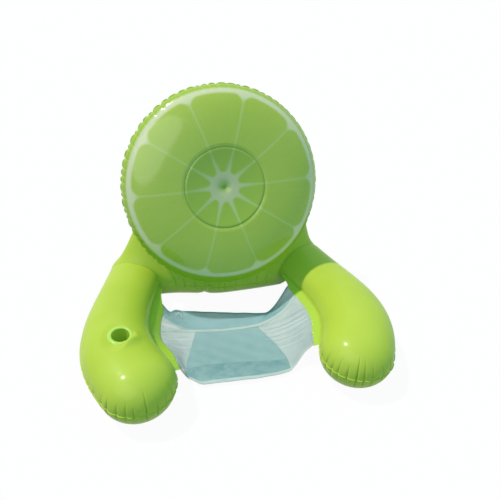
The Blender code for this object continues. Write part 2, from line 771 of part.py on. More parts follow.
def make_tab(cloth, material, parts, chair):
    """The small tab at the rear binding lies on the facet of the band in front of it."""
    column = SIDE_COLUMNS - 1
    corner = cloth[1, column]
    across = cloth[1, column + 1] - corner
    along = cloth[2, column] - corner
    across /= np.linalg.norm(across)
    along /= np.linalg.norm(along)
    start = corner + along * 2 * GAP + across * TAB_INSET
    steps = [[start, start + across * TAB_WIDTH]]
    steps.append([point + along * TAB_DEPTH for point in steps[0]])
    tab = raised(np.array(steps), WEBBING + GAP)
    sheet("seat_rear_tab", tab, WEBBING, material, parts, chair)


# Air valves


def make_valve(name, matrix, materials, parts, cutters, chair):
    """Flange, push-in stem, plug on a strap and one-way flap. Z points out of the air space."""
    seat = make_empty(f"{name}_valve_frame", matrix, parts, chair)
    bottom = GAP
    top = bottom + WEBBING
    hole = STEM_RADIUS + STEM_CLEARANCE
    shoulder = VALVE_FLANGE_RADIUS - WEBBING
    flange = [(hole, bottom), (hole, top), (shoulder, top), (VALVE_FLANGE_RADIUS, bottom)]
    turned(f"{name}_valve_flange", flange, SMALL_STEPS, materials["clear"], parts, seat)
    stem_top = top + STEM_PROUD
    stem_low = stem_top - STEM_LENGTH
    outline = ((STEM_BORE, stem_low), (STEM_BORE, stem_top), (STEM_RADIUS, stem_top))
    stem = [*outline, (STEM_RADIUS, stem_low)]
    turned(f"{name}_valve_stem", stem, SMALL_STEPS, materials["clear"], parts, seat)
    make_plug(name, seat, stem_top + GAP, materials["clear"], parts, cutters)
    make_flap(name, seat, stem_low - GAP, materials["clear"], parts)


def disc_mesh(name, sections):
    """Stacked round sections, (radius, low, high), as one closed mesh of a stepped profile."""
    mesh = bpy.data.meshes.new(name)
    editable = bmesh.new()
    turn = np.linspace(0.0, math.tau, SMALL_STEPS, endpoint=False)
    rings = []
    for radius, height in sections:
        ring = [editable.verts.new((radius * math.cos(a), radius * math.sin(a), height)) for a in turn]
        rings.append(ring)
    count = len(turn)
    for low, high in zip(rings, rings[1:]):
        for i in range(count):
            j = (i + 1) % count
            editable.faces.new((low[i], low[j], high[j], high[i]))
    editable.faces.new(rings[0][::-1])
    editable.faces.new(rings[-1])
    editable.to_mesh(mesh)
    editable.free()
    return mesh


def strap_mesh(name, far, low, high, width):
    """A flat tongue from the middle out to x = far."""
    mesh = bpy.data.meshes.new(name)
    editable = bmesh.new()
    size = Matrix.Diagonal((far, width, high - low, 1.0))
    place = Matrix.Translation((far / 2, 0.0, (low + high) / 2))
    bmesh.ops.create_cube(editable, size=1.0, matrix=place @ size)
    editable.to_mesh(mesh)
    editable.free()
    return mesh


def make_plug(name, seat, height, material, parts, cutters):
    """The plug turns on the far end of its strap."""
    place = Matrix.Translation((HINGE_REACH, 0.0, height))
    hinge = make_empty(f"{name}_plug_hinge", place, parts, seat)
    sections = [
        (PLUG_SHANK_RADIUS, -PLUG_SHANK),
        (PLUG_SHANK_RADIUS, 0.0),
        (PLUG_RADIUS, 0.0),
        (PLUG_RADIUS, PLUG_HEAD),
    ]
    head = disc_mesh(f"{name}_valve_plug", sections)
    low, high = PLUG_HEAD / 3, 2 * PLUG_HEAD / 3
    strap = strap_mesh(f"{name}_plug_strap", HINGE_REACH, low, high, STRAP_WIDTH)
    for mesh in (head, strap):
        mesh.transform(Matrix.Translation((-HINGE_REACH, 0.0, 0.0)))
    plug = add_object(f"{name}_valve_plug", head, material, parts, hinge)
    tongue = add_object(f"{name}_plug_strap", strap, None, cutters, hinge)
    tongue.hide_render = True
    tongue.display_type = "WIRE"
    union = plug.modifiers.new("join_strap", "BOOLEAN")
    union.operation = "UNION"
    union.solver = "EXACT"
    union.object = tongue


def make_flap(name, seat, height, material, parts):
    """The one-way flap under the stem turns on its own edge."""
    hinge = make_empty(
        f"{name}_flap_hinge", Matrix.Translation((FLAP_RADIUS, 0.0, height)), parts, seat
    )
    mesh = disc_mesh(f"{name}_valve_flap", [(FLAP_RADIUS, -FLAP_THICKNESS), (FLAP_RADIUS, 0.0)])
    mesh.transform(Matrix.Translation((-FLAP_RADIUS, 0.0, 0.0)))
    add_object(f"{name}_valve_flap", mesh, material, parts, hinge)


def make_materials():
    return {
        "lime": make_material("lime_vinyl", srgb(172, 214, 72), 0.28),
        "clear_lime": make_material("lime_rim_vinyl", srgb(190, 224, 104), 0.22),
        "print": make_material("citrus_print_vinyl", srgb(142, 186, 84), 0.25),
        "white": make_material("white_seat_mesh", srgb(214, 224, 222), 0.75),
        "aqua": make_material("aqua_seat_mesh", srgb(152, 200, 200), 0.75),
        "teal": make_material("teal_seat_mesh", srgb(112, 170, 170), 0.75),
        "clear": make_material("clear_valve_vinyl", srgb(226, 236, 226), 0.2),
    }


def main():
    clear_scene()
    parts = make_collection(COLLECTION_NAME)
    cutters = make_collection(CUTTER_COLLECTION_NAME)
    materials = make_materials()
    middle = (arm_front() + backrest_rear()) / 2
    chair = make_empty("chair_frame", Matrix.Translation((0.0, -middle, 0.0)), parts)
    make_backrest(materials, parts, cutters, chair)
    make_arms(materials, parts, cutters, chair)
    make_cradle(materials, parts, cutters, chair)
    make_cup_holder(materials, parts, chair)
    make_seat_strips(materials, parts, chair)
    make_seat(materials, parts, chair)
    make_valve("backrest", valve_on_backrest(), materials, parts, cutters, chair)
    make_valve("cradle", valve_on_cradle(), materials, parts, cutters, chair)


main()
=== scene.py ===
# %% [markdown]
# # An inflatable pool chair
# The chair is vinyl film: flat panels are cut out, welded along their edges and blown up with air.
# A round backrest printed like a slice of citrus fruit stands in a horned cradle. The cradle runs
# into two fat arms, and a mesh sling hangs between the arms as the seat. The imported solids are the
# fixed frame of this scene, and every piece that is made here is laid over one of them.

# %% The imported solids
import math
from functools import partial

import bmesh
import bpy
import numpy as np
from mathutils import Matrix, Vector


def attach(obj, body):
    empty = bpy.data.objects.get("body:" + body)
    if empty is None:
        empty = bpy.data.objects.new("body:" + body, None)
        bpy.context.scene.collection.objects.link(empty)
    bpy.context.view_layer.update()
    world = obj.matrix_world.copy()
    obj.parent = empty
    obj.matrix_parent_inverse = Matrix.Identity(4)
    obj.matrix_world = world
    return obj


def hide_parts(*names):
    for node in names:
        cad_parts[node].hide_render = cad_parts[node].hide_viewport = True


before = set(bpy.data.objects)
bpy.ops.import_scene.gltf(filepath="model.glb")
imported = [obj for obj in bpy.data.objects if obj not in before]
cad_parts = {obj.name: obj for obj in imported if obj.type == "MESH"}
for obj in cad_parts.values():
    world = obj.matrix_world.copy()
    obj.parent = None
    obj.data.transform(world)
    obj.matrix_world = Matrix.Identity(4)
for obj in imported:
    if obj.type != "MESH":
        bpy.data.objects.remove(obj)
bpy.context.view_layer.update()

# %% [markdown]
# ## The camera
# The photograph looks down on the chair from its left front. Three angles turn the camera: how far
# round the chair it stands, how high it is, and how far it leans to one side. The three axes of the
# view are worked out from them and put straight into the camera's matrix, so nothing has to track
# or follow anything.

# %% The camera
CAMERA_PLACE = Vector((-0.48154, -1.81812, 1.96960))
CAMERA_AROUND = math.radians(-16.544)
CAMERA_ABOVE = math.radians(39.481)
CAMERA_LEAN = math.radians(4.768)
CAMERA_LENS = 45.66
SENSOR_WIDTH = 36.0
NEAREST_SEEN = 0.01


def make_camera():
    """Back axis from two angles, right axis level with the floor, then both turned by the lean."""
    level = math.cos(CAMERA_ABOVE)
    back = Vector(
        (math.sin(CAMERA_AROUND) * level, -math.cos(CAMERA_AROUND) * level, math.sin(CAMERA_ABOVE))
    )
    right = Vector((0.0, 0.0, 1.0)).cross(back).normalized()
    up = back.cross(right)
    leaning_right = right * math.cos(CAMERA_LEAN) + up * math.sin(CAMERA_LEAN)
    leaning_up = up * math.cos(CAMERA_LEAN) - right * math.sin(CAMERA_LEAN)
    data = bpy.data.cameras.new("camera")
    data.lens = CAMERA_LENS
    data.sensor_width = SENSOR_WIDTH
    data.clip_start = NEAREST_SEEN
    camera = bpy.data.objects.new("camera", data)
    bpy.context.scene.collection.objects.link(camera)
    turn = Matrix((leaning_right, leaning_up, back)).transposed().to_4x4()
    camera.matrix_world = Matrix.Translation(CAMERA_PLACE) @ turn
    bpy.context.scene.camera = camera


make_camera()
print("camera stands", round(CAMERA_PLACE.length, 2), "m from the middle of the floor")

# %% [markdown]
# ## Light and floor
# The photograph has one strong, slightly soft light high on the left and a little behind the chair,
# and an even pale light from all round. A sun lamp and a plain world do that. A wide lamp that only
# reflections see puts the broad sheen on the film. The floor is white. Towards the camera most of
# its white is its own light, so the background stays clean, and the rest is an ordinary diffuse
# white, which keeps the chair's shadow. Light that it throws up at the chair meets a plain grey.

# %% Sockets and sums
WHITE = (1.0, 1.0, 1.0, 1.0)


def put(tree, target, value):
    """Links an output into a socket, or writes a plain value there."""
    if isinstance(value, bpy.types.NodeSocket):
        tree.links.new(value, target)
    else:
        target.default_value = value


def math_of(tree, kind, *values):
    """A Math node of the given operation over one, two or three values."""
    node = tree.nodes.new("ShaderNodeMath")
    node.operation = kind
    for target, value in zip(node.inputs, values):
        put(tree, target, value)
    return node.outputs[0]


def seen_straight(tree):
    """1 for rays that come from the camera, from a reflection or through glass, and 0 for light."""
    rays = tree.nodes.new("ShaderNodeLightPath").outputs
    either = math_of(tree, "MAXIMUM", rays["Is Camera Ray"], rays["Is Transmission Ray"])
    return math_of(tree, "MAXIMUM", rays["Is Glossy Ray"], either)


def plain_shader(tree, kind, color):
    """A Background, Diffuse or Emission node of one colour."""
    node = tree.nodes.new(f"ShaderNode{kind}")
    node.inputs["Color"].default_value = color
    return node


def mixed(tree, share, first, second):
    """The first shader at a share of 0, and the second one at 1."""
    mix = tree.nodes.new("ShaderNodeMixShader")
    put(tree, mix.inputs["Fac"], share)
    tree.links.new(first.outputs[0], mix.inputs[1])
    tree.links.new(second.outputs[0], mix.inputs[2])
    return mix


# %% Lamps
SUN_TOWARDS = Vector((-0.50, 0.25, 1.0))
SUN_STRENGTH = 2.25
SUN_SPREAD = math.radians(2.2)
SUN_COLOR = (1.0, 0.94, 0.88)
SOFTBOX_PLACE = Vector((-2.3, -2.3, 3.2))
SOFTBOX_TARGET = Vector((0.0, 0.0, 0.3))
SOFTBOX_SIZE = (4.6, 3.4)
SOFTBOX_POWER = 80.0
SOFTBOX_COLOR = (1.0, 1.0, 0.96)


def make_lamp(name, kind, strength, color, towards):
    """A lamp that shines along its own -Z axis, so its Z axis is turned towards where it stands."""
    data = bpy.data.lights.new(name, kind)
    data.energy = strength
    data.color = color
    lamp = bpy.data.objects.new(name, data)
    bpy.context.scene.collection.objects.link(lamp)
    lamp.rotation_euler = towards.to_track_quat("Z", "Y").to_euler()
    return lamp


def make_sun():
    sun = make_lamp("sun", "SUN", SUN_STRENGTH, SUN_COLOR, SUN_TOWARDS)
    sun.data.angle = SUN_SPREAD


def make_softbox():
    """A wide lamp at the left front that only glosses see, for the sheen on the round surfaces."""
    towards = SOFTBOX_PLACE - SOFTBOX_TARGET
    softbox = make_lamp("softbox", "AREA", SOFTBOX_POWER, SOFTBOX_COLOR, towards)
    softbox.data.shape = "ELLIPSE"
    softbox.data.size, softbox.data.size_y = SOFTBOX_SIZE
    softbox.location = SOFTBOX_PLACE
    softbox.visible_diffuse = False


make_sun()
make_softbox()
print("sun towards", tuple(round(v, 2) for v in SUN_TOWARDS.normalized()))

# %% World and floor
WORLD_COLOR = (0.48, 1.0, 0.95, 1.0)
WORLD_STRENGTH = 0.54
FLOOR_HALF = 30.0
FLOOR_DROP = 0.0004
FLOOR_OWN_SHARE = 0.95
FLOOR_LIT = (0.30, 0.30, 0.30, 1.0)
FLOOR_SEEN = (0.88, 0.88, 0.88, 1.0)


def make_world():
    world = bpy.data.worlds.new("even_light")
    bpy.context.scene.world = world
    world.use_nodes = True
    tree = world.node_tree
    tree.nodes.clear()
    light = plain_shader(tree, "Background", WORLD_COLOR)
    light.inputs["Strength"].default_value = WORLD_STRENGTH
    white = plain_shader(tree, "Background", WHITE)
    mix = mixed(tree, seen_straight(tree), light, white)
    out = tree.nodes.new("ShaderNodeOutputWorld")
    tree.links.new(mix.outputs[0], out.inputs["Surface"])


def make_floor():
    """A wide square, a hair below zero so that it never shares a plane with the chair's feet."""
    mesh = bpy.data.meshes.new("floor")
    signs = ((-1, -1), (1, -1), (1, 1), (-1, 1))
    corners = [(x * FLOOR_HALF, y * FLOOR_HALF, -FLOOR_DROP) for x, y in signs]
    mesh.from_pydata(corners, [], [(0, 1, 2, 3)])
    floor = bpy.data.objects.new("floor", mesh)
    bpy.context.scene.collection.objects.link(floor)
    material = bpy.data.materials.new("white_floor")
    material.use_nodes = True
    tree = material.node_tree
    tree.nodes.clear()
    lit = plain_shader(tree, "BsdfDiffuse", FLOOR_LIT)
    seen = plain_shader(tree, "BsdfDiffuse", FLOOR_SEEN)
    own = plain_shader(tree, "Emission", WHITE)
    pale = mixed(tree, FLOOR_OWN_SHARE, seen, own)
    both = mixed(tree, seen_straight(tree), lit, pale)
    out = tree.nodes.new("ShaderNodeOutputMaterial")
    tree.links.new(both.outputs[0], out.inputs["Surface"])
    mesh.materials.append(material)


bpy.context.scene.view_settings.view_transform = "Standard"
make_world()
make_floor()
print("floor:", 2 * FLOOR_HALF, "m wide")

# %% [markdown]
# ## Helpers for surfaces
# Every soft piece here is a grid of points that is worked out as whole arrays. `surface` turns such
# a grid into a mesh: quads between neighbouring points, with points that fall together made one, so
# a closed grid gives a closed skin. A second grid of two numbers per point goes along as a map in
# metres, and the print and the weave read it.


# %% Grids into meshes
MERGE_DISTANCE = 0.000002


def srgb(red, green, blue):
    """The linear colour of an 8-bit screen colour."""
    return (*(((c / 255 + 0.055) / 1.055) ** 2.4 for c in (red, green, blue)), 1.0)


def smooth(value, low, high):
    """0 below low, 1 above high, and 3t^2 - 2t^3 between them."""
    t = np.clip((np.asarray(value, float) - low) / (high - low), 0.0, 1.0)
    return t * t * (3 - 2 * t)


def surface(name, points, material, place=None, closed=True, sharp=50.0, flip=False):
    """A mesh over a (rows, columns, 3) grid of points. Its map is a (rows, columns, 2) grid."""
    rows, columns = points.shape[:2]
    index = np.arange(rows * columns).reshape(rows, columns)
    corners = [index[:-1, :-1], index[1:, :-1], index[1:, 1:], index[:-1, 1:]]
    if flip:
        corners.reverse()
    quads = np.stack(corners, -1).reshape(-1, 4)
    mesh = bpy.data.meshes.new(name)
    mesh.vertices.add(rows * columns)
    mesh.vertices.foreach_set("co", points.astype(np.float32).ravel())
    mesh.loops.add(quads.size)
    mesh.loops.foreach_set("vertex_index", quads.ravel().astype(np.int32))
    mesh.polygons.add(len(quads))
    mesh.polygons.foreach_set("loop_start", np.arange(0, quads.size, 4, dtype=np.int32))
    mesh.update(calc_edges=True)
    if place is not None:
        layer = mesh.uv_layers.new(name="place")
        spread = place.reshape(-1, 2)[quads.ravel()].astype(np.float32)
        layer.uv.foreach_set("vector", spread.ravel())
    made = bmesh.new()
    made.from_mesh(mesh)
    bmesh.ops.remove_doubles(made, verts=made.verts, dist=MERGE_DISTANCE)
    bmesh.ops.dissolve_degenerate(made, edges=made.edges, dist=MERGE_DISTANCE)
    if closed:
        bmesh.ops.recalc_face_normals(made, faces=made.faces)
    made.to_mesh(mesh)
    made.free()
    mesh.shade_smooth()
    mesh.set_sharp_from_angle(angle=math.radians(sharp))
    piece = bpy.data.objects.new(name, mesh)
    bpy.context.scene.collection.objects.link(piece)
    mesh.materials.append(material)
    return piece


def apply_modifiers(piece):
    """Swaps the piece's mesh for the one that its modifiers make."""
    bpy.context.view_layer.update()
    seen = piece.evaluated_get(bpy.context.evaluated_depsgraph_get())
    mesh = bpy.data.meshes.new_from_object(seen)
    piece.modifiers.clear()
    piece.data = mesh


def normals_of(grid):
    """Unit normals of a grid: the cross product of its slopes along rows and along columns."""
    across = np.cross(np.gradient(grid, axis=0), np.gradient(grid, axis=1))
    return across / np.maximum(np.linalg.norm(across, axis=-1), 1e-12)[..., None]


def path_length(grid, axis):
    """Distance along the grid's lines from their first point."""
    step = np.linalg.norm(np.diff(grid, axis=axis), axis=-1)
    start = np.zeros_like(np.take(step, [0], axis=axis))
    return np.concatenate([start, np.cumsum(step, axis=axis)], axis=axis)


def creases(along, away, places, depths, reaches, widths, fade=1.5):
    """Depth of sharp folds that run off a seam.

    Each fold is deepest on the seam at its own place, falls off to both sides as exp(-x / width),
    narrows away from the seam, and dies out there as (1 - away / reach) ** fade.
    """
    total = np.zeros(np.broadcast(along, away).shape)
    for place, depth, reach, width in zip(places, depths, reaches, widths):
        left = np.clip(1 - away / reach, 0.0, 1.0)
        side = np.exp(-np.abs(along - place) / (width * (0.45 + 0.75 * left)))
        total += depth * side * left**fade
    return total


# %% [markdown]
# ## Finishes
# Blown vinyl is smooth and wet-looking. Its base is a soft gloss that gives the wide pale sheen,
# and a clear coat on top gives the small hard glints of the lamp. The colour drifts a little over a
# metre, and the film has very faint ripples. Drift and ripples are wanted on every film piece, so
# they are a node group, built once and placed in each material with its own colours.


# %% Node helpers
def new_group(name, inputs, outputs):
    """An empty shader node group with named sockets, its input node and its output node."""
    tree = bpy.data.node_groups.new(name, "ShaderNodeTree")
    for kind, label, value in inputs:
        socket = tree.interface.new_socket(label, in_out="INPUT", socket_type=f"NodeSocket{kind}")
        socket.default_value = value
    for kind, label in outputs:
        tree.interface.new_socket(label, in_out="OUTPUT", socket_type=f"NodeSocket{kind}")
    return tree, tree.nodes.new("NodeGroupInput"), tree.nodes.new("NodeGroupOutput")


def use_group(tree, group, values):
    """A group placed in a material, with values for its named inputs."""
    node = tree.nodes.new("ShaderNodeGroup")
    node.node_tree = group
    for label, value in values.items():
        node.inputs[label].default_value = value
    return node


def blend_of(tree, share, first, second):
    """Two colours mixed by a share."""
    node = tree.nodes.new("ShaderNodeMix")
    node.data_type = "RGBA"
    for label, value in (("Factor", share), ("A", first), ("B", second)):
        put(tree, node.inputs[label], value)
    return node.outputs["Result"]


def step_of(tree, value, low, high):
    """A soft step of a value from 0 at low to 1 at high."""
    node = tree.nodes.new("ShaderNodeMapRange")
    node.interpolation_type = "SMOOTHSTEP"
    for label, number in (("Value", value), ("From Min", low), ("From Max", high)):
        put(tree, node.inputs[label], number)
    return node.outputs["Result"]


def noise_of(tree, vector, scale, detail=3.0, roughness=0.6):
    node = tree.nodes.new("ShaderNodeTexNoise")
    values = (("Vector", vector), ("Scale", scale), ("Detail", detail), ("Roughness", roughness))
    for label, value in values:
        put(tree, node.inputs[label], value)
    return node.outputs["Fac"]


def object_place(tree):
    return tree.nodes.new("ShaderNodeTexCoord").outputs["Object"]


def map_axes(tree):
    """The two numbers of the piece's own map, in metres."""
    place = tree.nodes.new("ShaderNodeUVMap")
    place.uv_map = "place"
    split = tree.nodes.new("ShaderNodeSeparateXYZ")
    tree.links.new(place.outputs["UV"], split.inputs[0])
    return split.outputs["X"], split.outputs["Y"]


def start_material(name):
    material = bpy.data.materials.new(name)
    material.use_nodes = True
    return material, material.node_tree, material.node_tree.nodes["Principled BSDF"]


def give_bump(tree, shader, height, distance, strength=1.0):
    bump = tree.nodes.new("ShaderNodeBump")
    bump.inputs["Strength"].default_value = strength
    bump.inputs["Distance"].default_value = distance
    tree.links.new(height, bump.inputs["Height"])
    tree.links.new(bump.outputs["Normal"], shader.inputs["Normal"])


# %% The film's drift and ripples
def make_film_group():
    """Color drifts between two tones, Roughness round one value, and Height is a faint ripple."""
    inputs = (
        ("Color", "Tone", WHITE),
        ("Color", "Pale Tone", WHITE),
        ("Float", "Gloss", 0.3),
        ("Float", "Gloss Drift", 0.06),
    )
    outputs = (("Color", "Color"), ("Float", "Roughness"), ("Float", "Height"))
    tree, given, out = new_group("film_drift", inputs, outputs)
    place = object_place(tree)
    wide = noise_of(tree, place, 3.2, 2.0, 0.5)
    fine = noise_of(tree, place, 26.0)
    drift = step_of(tree, wide, 0.32, 0.72)
    color = blend_of(tree, drift, given.outputs["Tone"], given.outputs["Pale Tone"])
    smear = math_of(tree, "MULTIPLY", fine, given.outputs["Gloss Drift"])
    rough = math_of(tree, "ADD", given.outputs["Gloss"], smear)
    height = math_of(tree, "ADD", math_of(tree, "MULTIPLY", wide, 0.7), fine)
    for label, value in (("Color", color), ("Roughness", rough), ("Height", height)):
        tree.links.new(value, out.inputs[label])
    return tree


film_drift = make_film_group()

# %% Film materials
FILM_IOR = 1.5
FILM_SPECULAR = 0.12
FILM_COAT, FILM_COAT_ROUGHNESS = 0.19, 0.16
# painted light: the film glows faintly green, as if light shone through it into its shade
FILM_PAINTED_GLOW, FILM_PAINTED_GLOW_COLOR = 0.045, (0.08, 1.0, 0.12, 1.0)
RIPPLE_HEIGHT = 0.0006


def start_film(name, tone, pale, gloss):
    """A material with the drift group in it, between two 8-bit screen colours."""
    material, tree, shader = start_material(name)
    values = {"Tone": srgb(*tone), "Pale Tone": srgb(*pale), "Gloss": gloss}
    return material, tree, shader, use_group(tree, film_drift, values)


def finish_film(tree, shader, drift, color, coat=FILM_COAT, coat_roughness=FILM_COAT_ROUGHNESS):
    """The sockets that all glossy film shares: gloss, clear coat, a painted green glow and ripples.
    """
    tree.links.new(color, shader.inputs["Base Color"])
    tree.links.new(drift.outputs["Roughness"], shader.inputs["Roughness"])
    shader.inputs["IOR"].default_value = FILM_IOR
    shader.inputs["Specular IOR Level"].default_value = FILM_SPECULAR
    shader.inputs["Coat Weight"].default_value = coat
    shader.inputs["Coat Roughness"].default_value = coat_roughness
    # painted light: a faint green emission lifts the film in its shade
    shader.inputs["Emission Color"].default_value = FILM_PAINTED_GLOW_COLOR
    shader.inputs["Emission Strength"].default_value = FILM_PAINTED_GLOW
    give_bump(tree, shader, drift.outputs["Height"], RIPPLE_HEIGHT)


def make_film(name, tone, pale, gloss):
    """Vinyl film of one colour."""
    material, tree, shader, drift = start_film(name, tone, pale, gloss)
    finish_film(tree, shader, drift, drift.outputs["Color"])
    return material


lime_film = make_film("lime_film", (186, 196, 62), (196, 204, 76), 0.40)
rim_film = make_film("pale_lime_film", (190, 214, 92), (200, 220, 106), 0.28)
strip_film = make_film("lime_strip_film", (178, 200, 64), (188, 207, 76), 0.38)
print("film materials:", lime_film.name, rim_film.name, strip_film.name)

# %% [markdown]
# ## The citrus print
# The backrest's front panel is printed like the cut face of a lime: a rind, a ring of pith, ten
# segments with thin webs between them, and a star of pith in the middle. A picture could carry
# this, but a few distances do it as well and stay sharp at any size. The map holds each point's
# place on the disc in metres. From it come the distance from the middle, the distance from the
# nearest web, and so the distance to the edge of a segment with rounded corners.

# %% The print's measures and tones
WEB_COUNT = 10
WEB_START = 15.97
WEB_HALF_WIDTH = 0.0022
WEB_SPREAD = 0.0065
SEGMENT_OUTER = 0.366
SEGMENT_INNER = 0.060
OUTER_CORNER = 0.040
INNER_CORNER = 0.009
PITH_EDGE = 0.388
RING_WELD_RADIUS = 0.162
FIBRE_SCALES = (30.0, 5.0)
PRINT_COAT, PRINT_COAT_ROUGHNESS = 0.8, 0.11
# where each soft step starts and ends: most are distances from the middle, in metres
STEPS = {
    "webs widen": (0.145, 0.055),
    "segment edge": (-0.0055, 0.0060),
    "fibre": (0.25, 0.80),
    "dish": (RING_WELD_RADIUS + 0.002, RING_WELD_RADIUS - 0.003),
    "pith pales": (0.05, 0.30),
    "webs pale": (0.10, 0.20),
    "pith ring": (0.335, 0.362),
    "core": (0.085, 0.060),
    "rind": (PITH_EDGE - 0.010, PITH_EDGE + 0.003),
    "halo": (0.036, 0.010),
    "dot": (0.014, 0.003),
    "weld line": (0.0034, 0.0008),
    # painted shade: these two steps take the gloss off the bottom of the rim
    "painted shade rim": (0.378, 0.392),
    "painted shade below": (-0.06, -0.20),
}
TONES = {
    "inner pith": srgb(200, 195, 160),
    "outer pith": srgb(230, 217, 182),
    "inner web": srgb(188, 196, 140),
    "outer web": srgb(200, 206, 130),
    "rind": srgb(163, 184, 38),
}
# thin layers over the print: a tone and how much of it shows
WASHES = {
    "fibre": (srgb(182, 198, 90), 0.5),
    # painted shade over the hollow dish inside the ring weld
    "dish": (srgb(144, 172, 46), 0.55),
    "halo": (srgb(150, 180, 66), 0.8),
    "dot": (srgb(104, 150, 40), 0.8),
    "weld line": (srgb(84, 134, 44), 0.55),
}
print("webs:", WEB_COUNT, "segments from", SEGMENT_INNER, "to", SEGMENT_OUTER, "m")


# %% The citrus print
def rounded_corner(calc, first, second, radius):
    """Distance inside a corner rounded to a radius: R - sqrt(max(R - a, 0)^2 + max(R - b, 0)^2)."""
    parts = []
    for value in (first, second):
        short = calc("MAXIMUM", calc("SUBTRACT", radius, value), 0.0)
        parts.append(calc("MULTIPLY", short, short))
    return calc("SUBTRACT", radius, calc("SQRT", calc("ADD", *parts)))


def segment_share(calc, step, radius, angle):
    """1 inside a segment and 0 on webs, pith and core, from a point's radius and angle."""
    # how many webs round the disc, as a running number that is whole on each web
    turns = calc("MULTIPLY", angle, WEB_COUNT / math.tau)
    turns = calc("SUBTRACT", turns, WEB_START / 360 * WEB_COUNT)
    near = calc("SUBTRACT", turns, calc("ROUND", turns))
    swing = calc("MULTIPLY", calc("ABSOLUTE", near), math.tau / WEB_COUNT)
    from_web = calc("MULTIPLY", calc("SINE", swing), radius)
    spread = calc("MULTIPLY", step(radius, "webs widen"), WEB_SPREAD)
    from_web = calc("SUBTRACT", from_web, calc("ADD", spread, WEB_HALF_WIDTH))
    from_rind = calc("SUBTRACT", SEGMENT_OUTER, radius)
    from_core = calc("SUBTRACT", radius, SEGMENT_INNER)
    outer = rounded_corner(calc, from_web, from_rind, OUTER_CORNER)
    inner = rounded_corner(calc, from_web, from_core, INNER_CORNER)
    return step(calc("MINIMUM", outer, inner), "segment edge")


def make_citrus_film():
    """Layers of tone, each laid on by a soft step of the distance from the middle."""
    name = "citrus_print_film"
    material, tree, shader, drift = start_film(name, (179, 189, 62), (187, 194, 77), 0.40)
    calc, blend = partial(math_of, tree), partial(blend_of, tree)

    def step(value, part):
        return step_of(tree, value, *STEPS[part])

    def wash(color, value, part):
        tone, most = WASHES[part]
        return blend(calc("MULTIPLY", step(value, part), most), color, tone)

    x, y = map_axes(tree)
    radius = calc("SQRT", calc("ADD", calc("MULTIPLY", x, x), calc("MULTIPLY", y, y)))
    angle = calc("ARCTAN2", x, y)

    # juice fibres: noise that is fine round the disc and long from the middle outwards
    fibre_place = tree.nodes.new("ShaderNodeCombineXYZ")
    for label, value, scale in zip("XY", (angle, radius), FIBRE_SCALES):
        tree.links.new(calc("MULTIPLY", value, scale), fibre_place.inputs[label])
    fibre = noise_of(tree, fibre_place.outputs[0], 1.6)
    juice = wash(drift.outputs["Color"], fibre, "fibre")
    # painted shade: the dish inside the ring weld is printed darker, for the shade in its hollow
    juice = wash(juice, radius, "dish")

    # thin webs let the green through, the ring and the core don't
    pith = blend(step(radius, "pith pales"), TONES["inner pith"], TONES["outer pith"])
    web = blend(step(radius, "webs pale"), TONES["inner web"], TONES["outer web"])
    wide = calc("MAXIMUM", step(radius, "pith ring"), step(radius, "core"))
    segments = segment_share(calc, step, radius, angle)
    color = blend(segments, blend(wide, web, pith), juice)
    color = blend(step(radius, "rind"), color, TONES["rind"])
    color = wash(color, radius, "halo")
    color = wash(color, radius, "dot")
    off_ring = calc("ABSOLUTE", calc("SUBTRACT", radius, RING_WELD_RADIUS))
    color = wash(color, off_ring, "weld line")
    finish_film(tree, shader, drift, color, PRINT_COAT, PRINT_COAT_ROUGHNESS)

    # painted shade: coat and gloss fade out on the bottom of the rim, so it shows no reflection
    # of the bright floor there, as if the cradle shaded it
    painted_reflection_shade = calc("MULTIPLY", step(radius, "painted shade rim"), step(y, "painted shade below"))
    for label, most in (("Coat Weight", PRINT_COAT), ("Specular IOR Level", FILM_SPECULAR)):
        tree.links.new(calc("MULTIPLY_ADD", painted_reflection_shade, -most, most), shader.inputs[label])
    return material


citrus_film = make_citrus_film()

# %% [markdown]
# ## Mesh cloth
# The sling is an open warp-knit net. Seen from the chair's distance it is a pale, slightly
# see-through cloth, and from close by it has rows of small round holes. The holes come from two
# waves added together, in the map's metres, so they keep their size on every panel. The same waves
# give the yarns their height.

# %% The net group
NET_PITCH, TAPE_PITCH = 0.0024, 0.0012


def make_net_group():
    """Cover is 1 on yarn and lower in a hole, Height is the yarns' roundness, Tone is slow wear."""
    inputs = (
        ("Float", "Pitch", NET_PITCH),
        ("Float", "Hole Cover", 0.45),
        ("Float", "Hole From", 0.1),
    )
    outputs = (("Float", "Cover"), ("Float", "Height"), ("Float", "Tone"))
    tree, given, out = new_group("net_weave", inputs, outputs)
    calc = partial(math_of, tree)
    waves = []
    for place in map_axes(tree):
        turns = calc("DIVIDE", place, given.outputs["Pitch"])
        waves.append(calc("COSINE", calc("MULTIPLY", turns, math.tau)))
    both = calc("ADD", *waves)
    hole_from = given.outputs["Hole From"]
    hole = step_of(tree, both, hole_from, calc("ADD", hole_from, 0.8))
    lost = calc("MULTIPLY", hole, calc("SUBTRACT", 1.0, given.outputs["Hole Cover"]))
    cover, height = calc("SUBTRACT", 1.0, lost), calc("MULTIPLY", both, -0.5)
    tone = noise_of(tree, object_place(tree), 14.0, 4.0)
    for label, value in (("Cover", cover), ("Height", height), ("Tone", tone)):
        tree.links.new(value, out.inputs[label])
    return tree


net_weave = make_net_group()


# %% Net materials
NET_ROUGHNESS = 0.72
NET_SHEEN, NET_SHEEN_ROUGHNESS = 0.12, 0.5
YARN_HEIGHT, YARN_STRENGTH = 0.0004, 0.6


def blotch_share(tree):
    """Blotches that start past the map's zero line, from 0.35 to 1 of the darker blotch tone."""
    past = step_of(tree, map_axes(tree)[1], -0.002, 0.003)
    blot = step_of(tree, noise_of(tree, object_place(tree), 34.0), 0.38, 0.66)
    return math_of(tree, "MULTIPLY", past, math_of(tree, "MULTIPLY_ADD", blot, 0.65, 0.35))


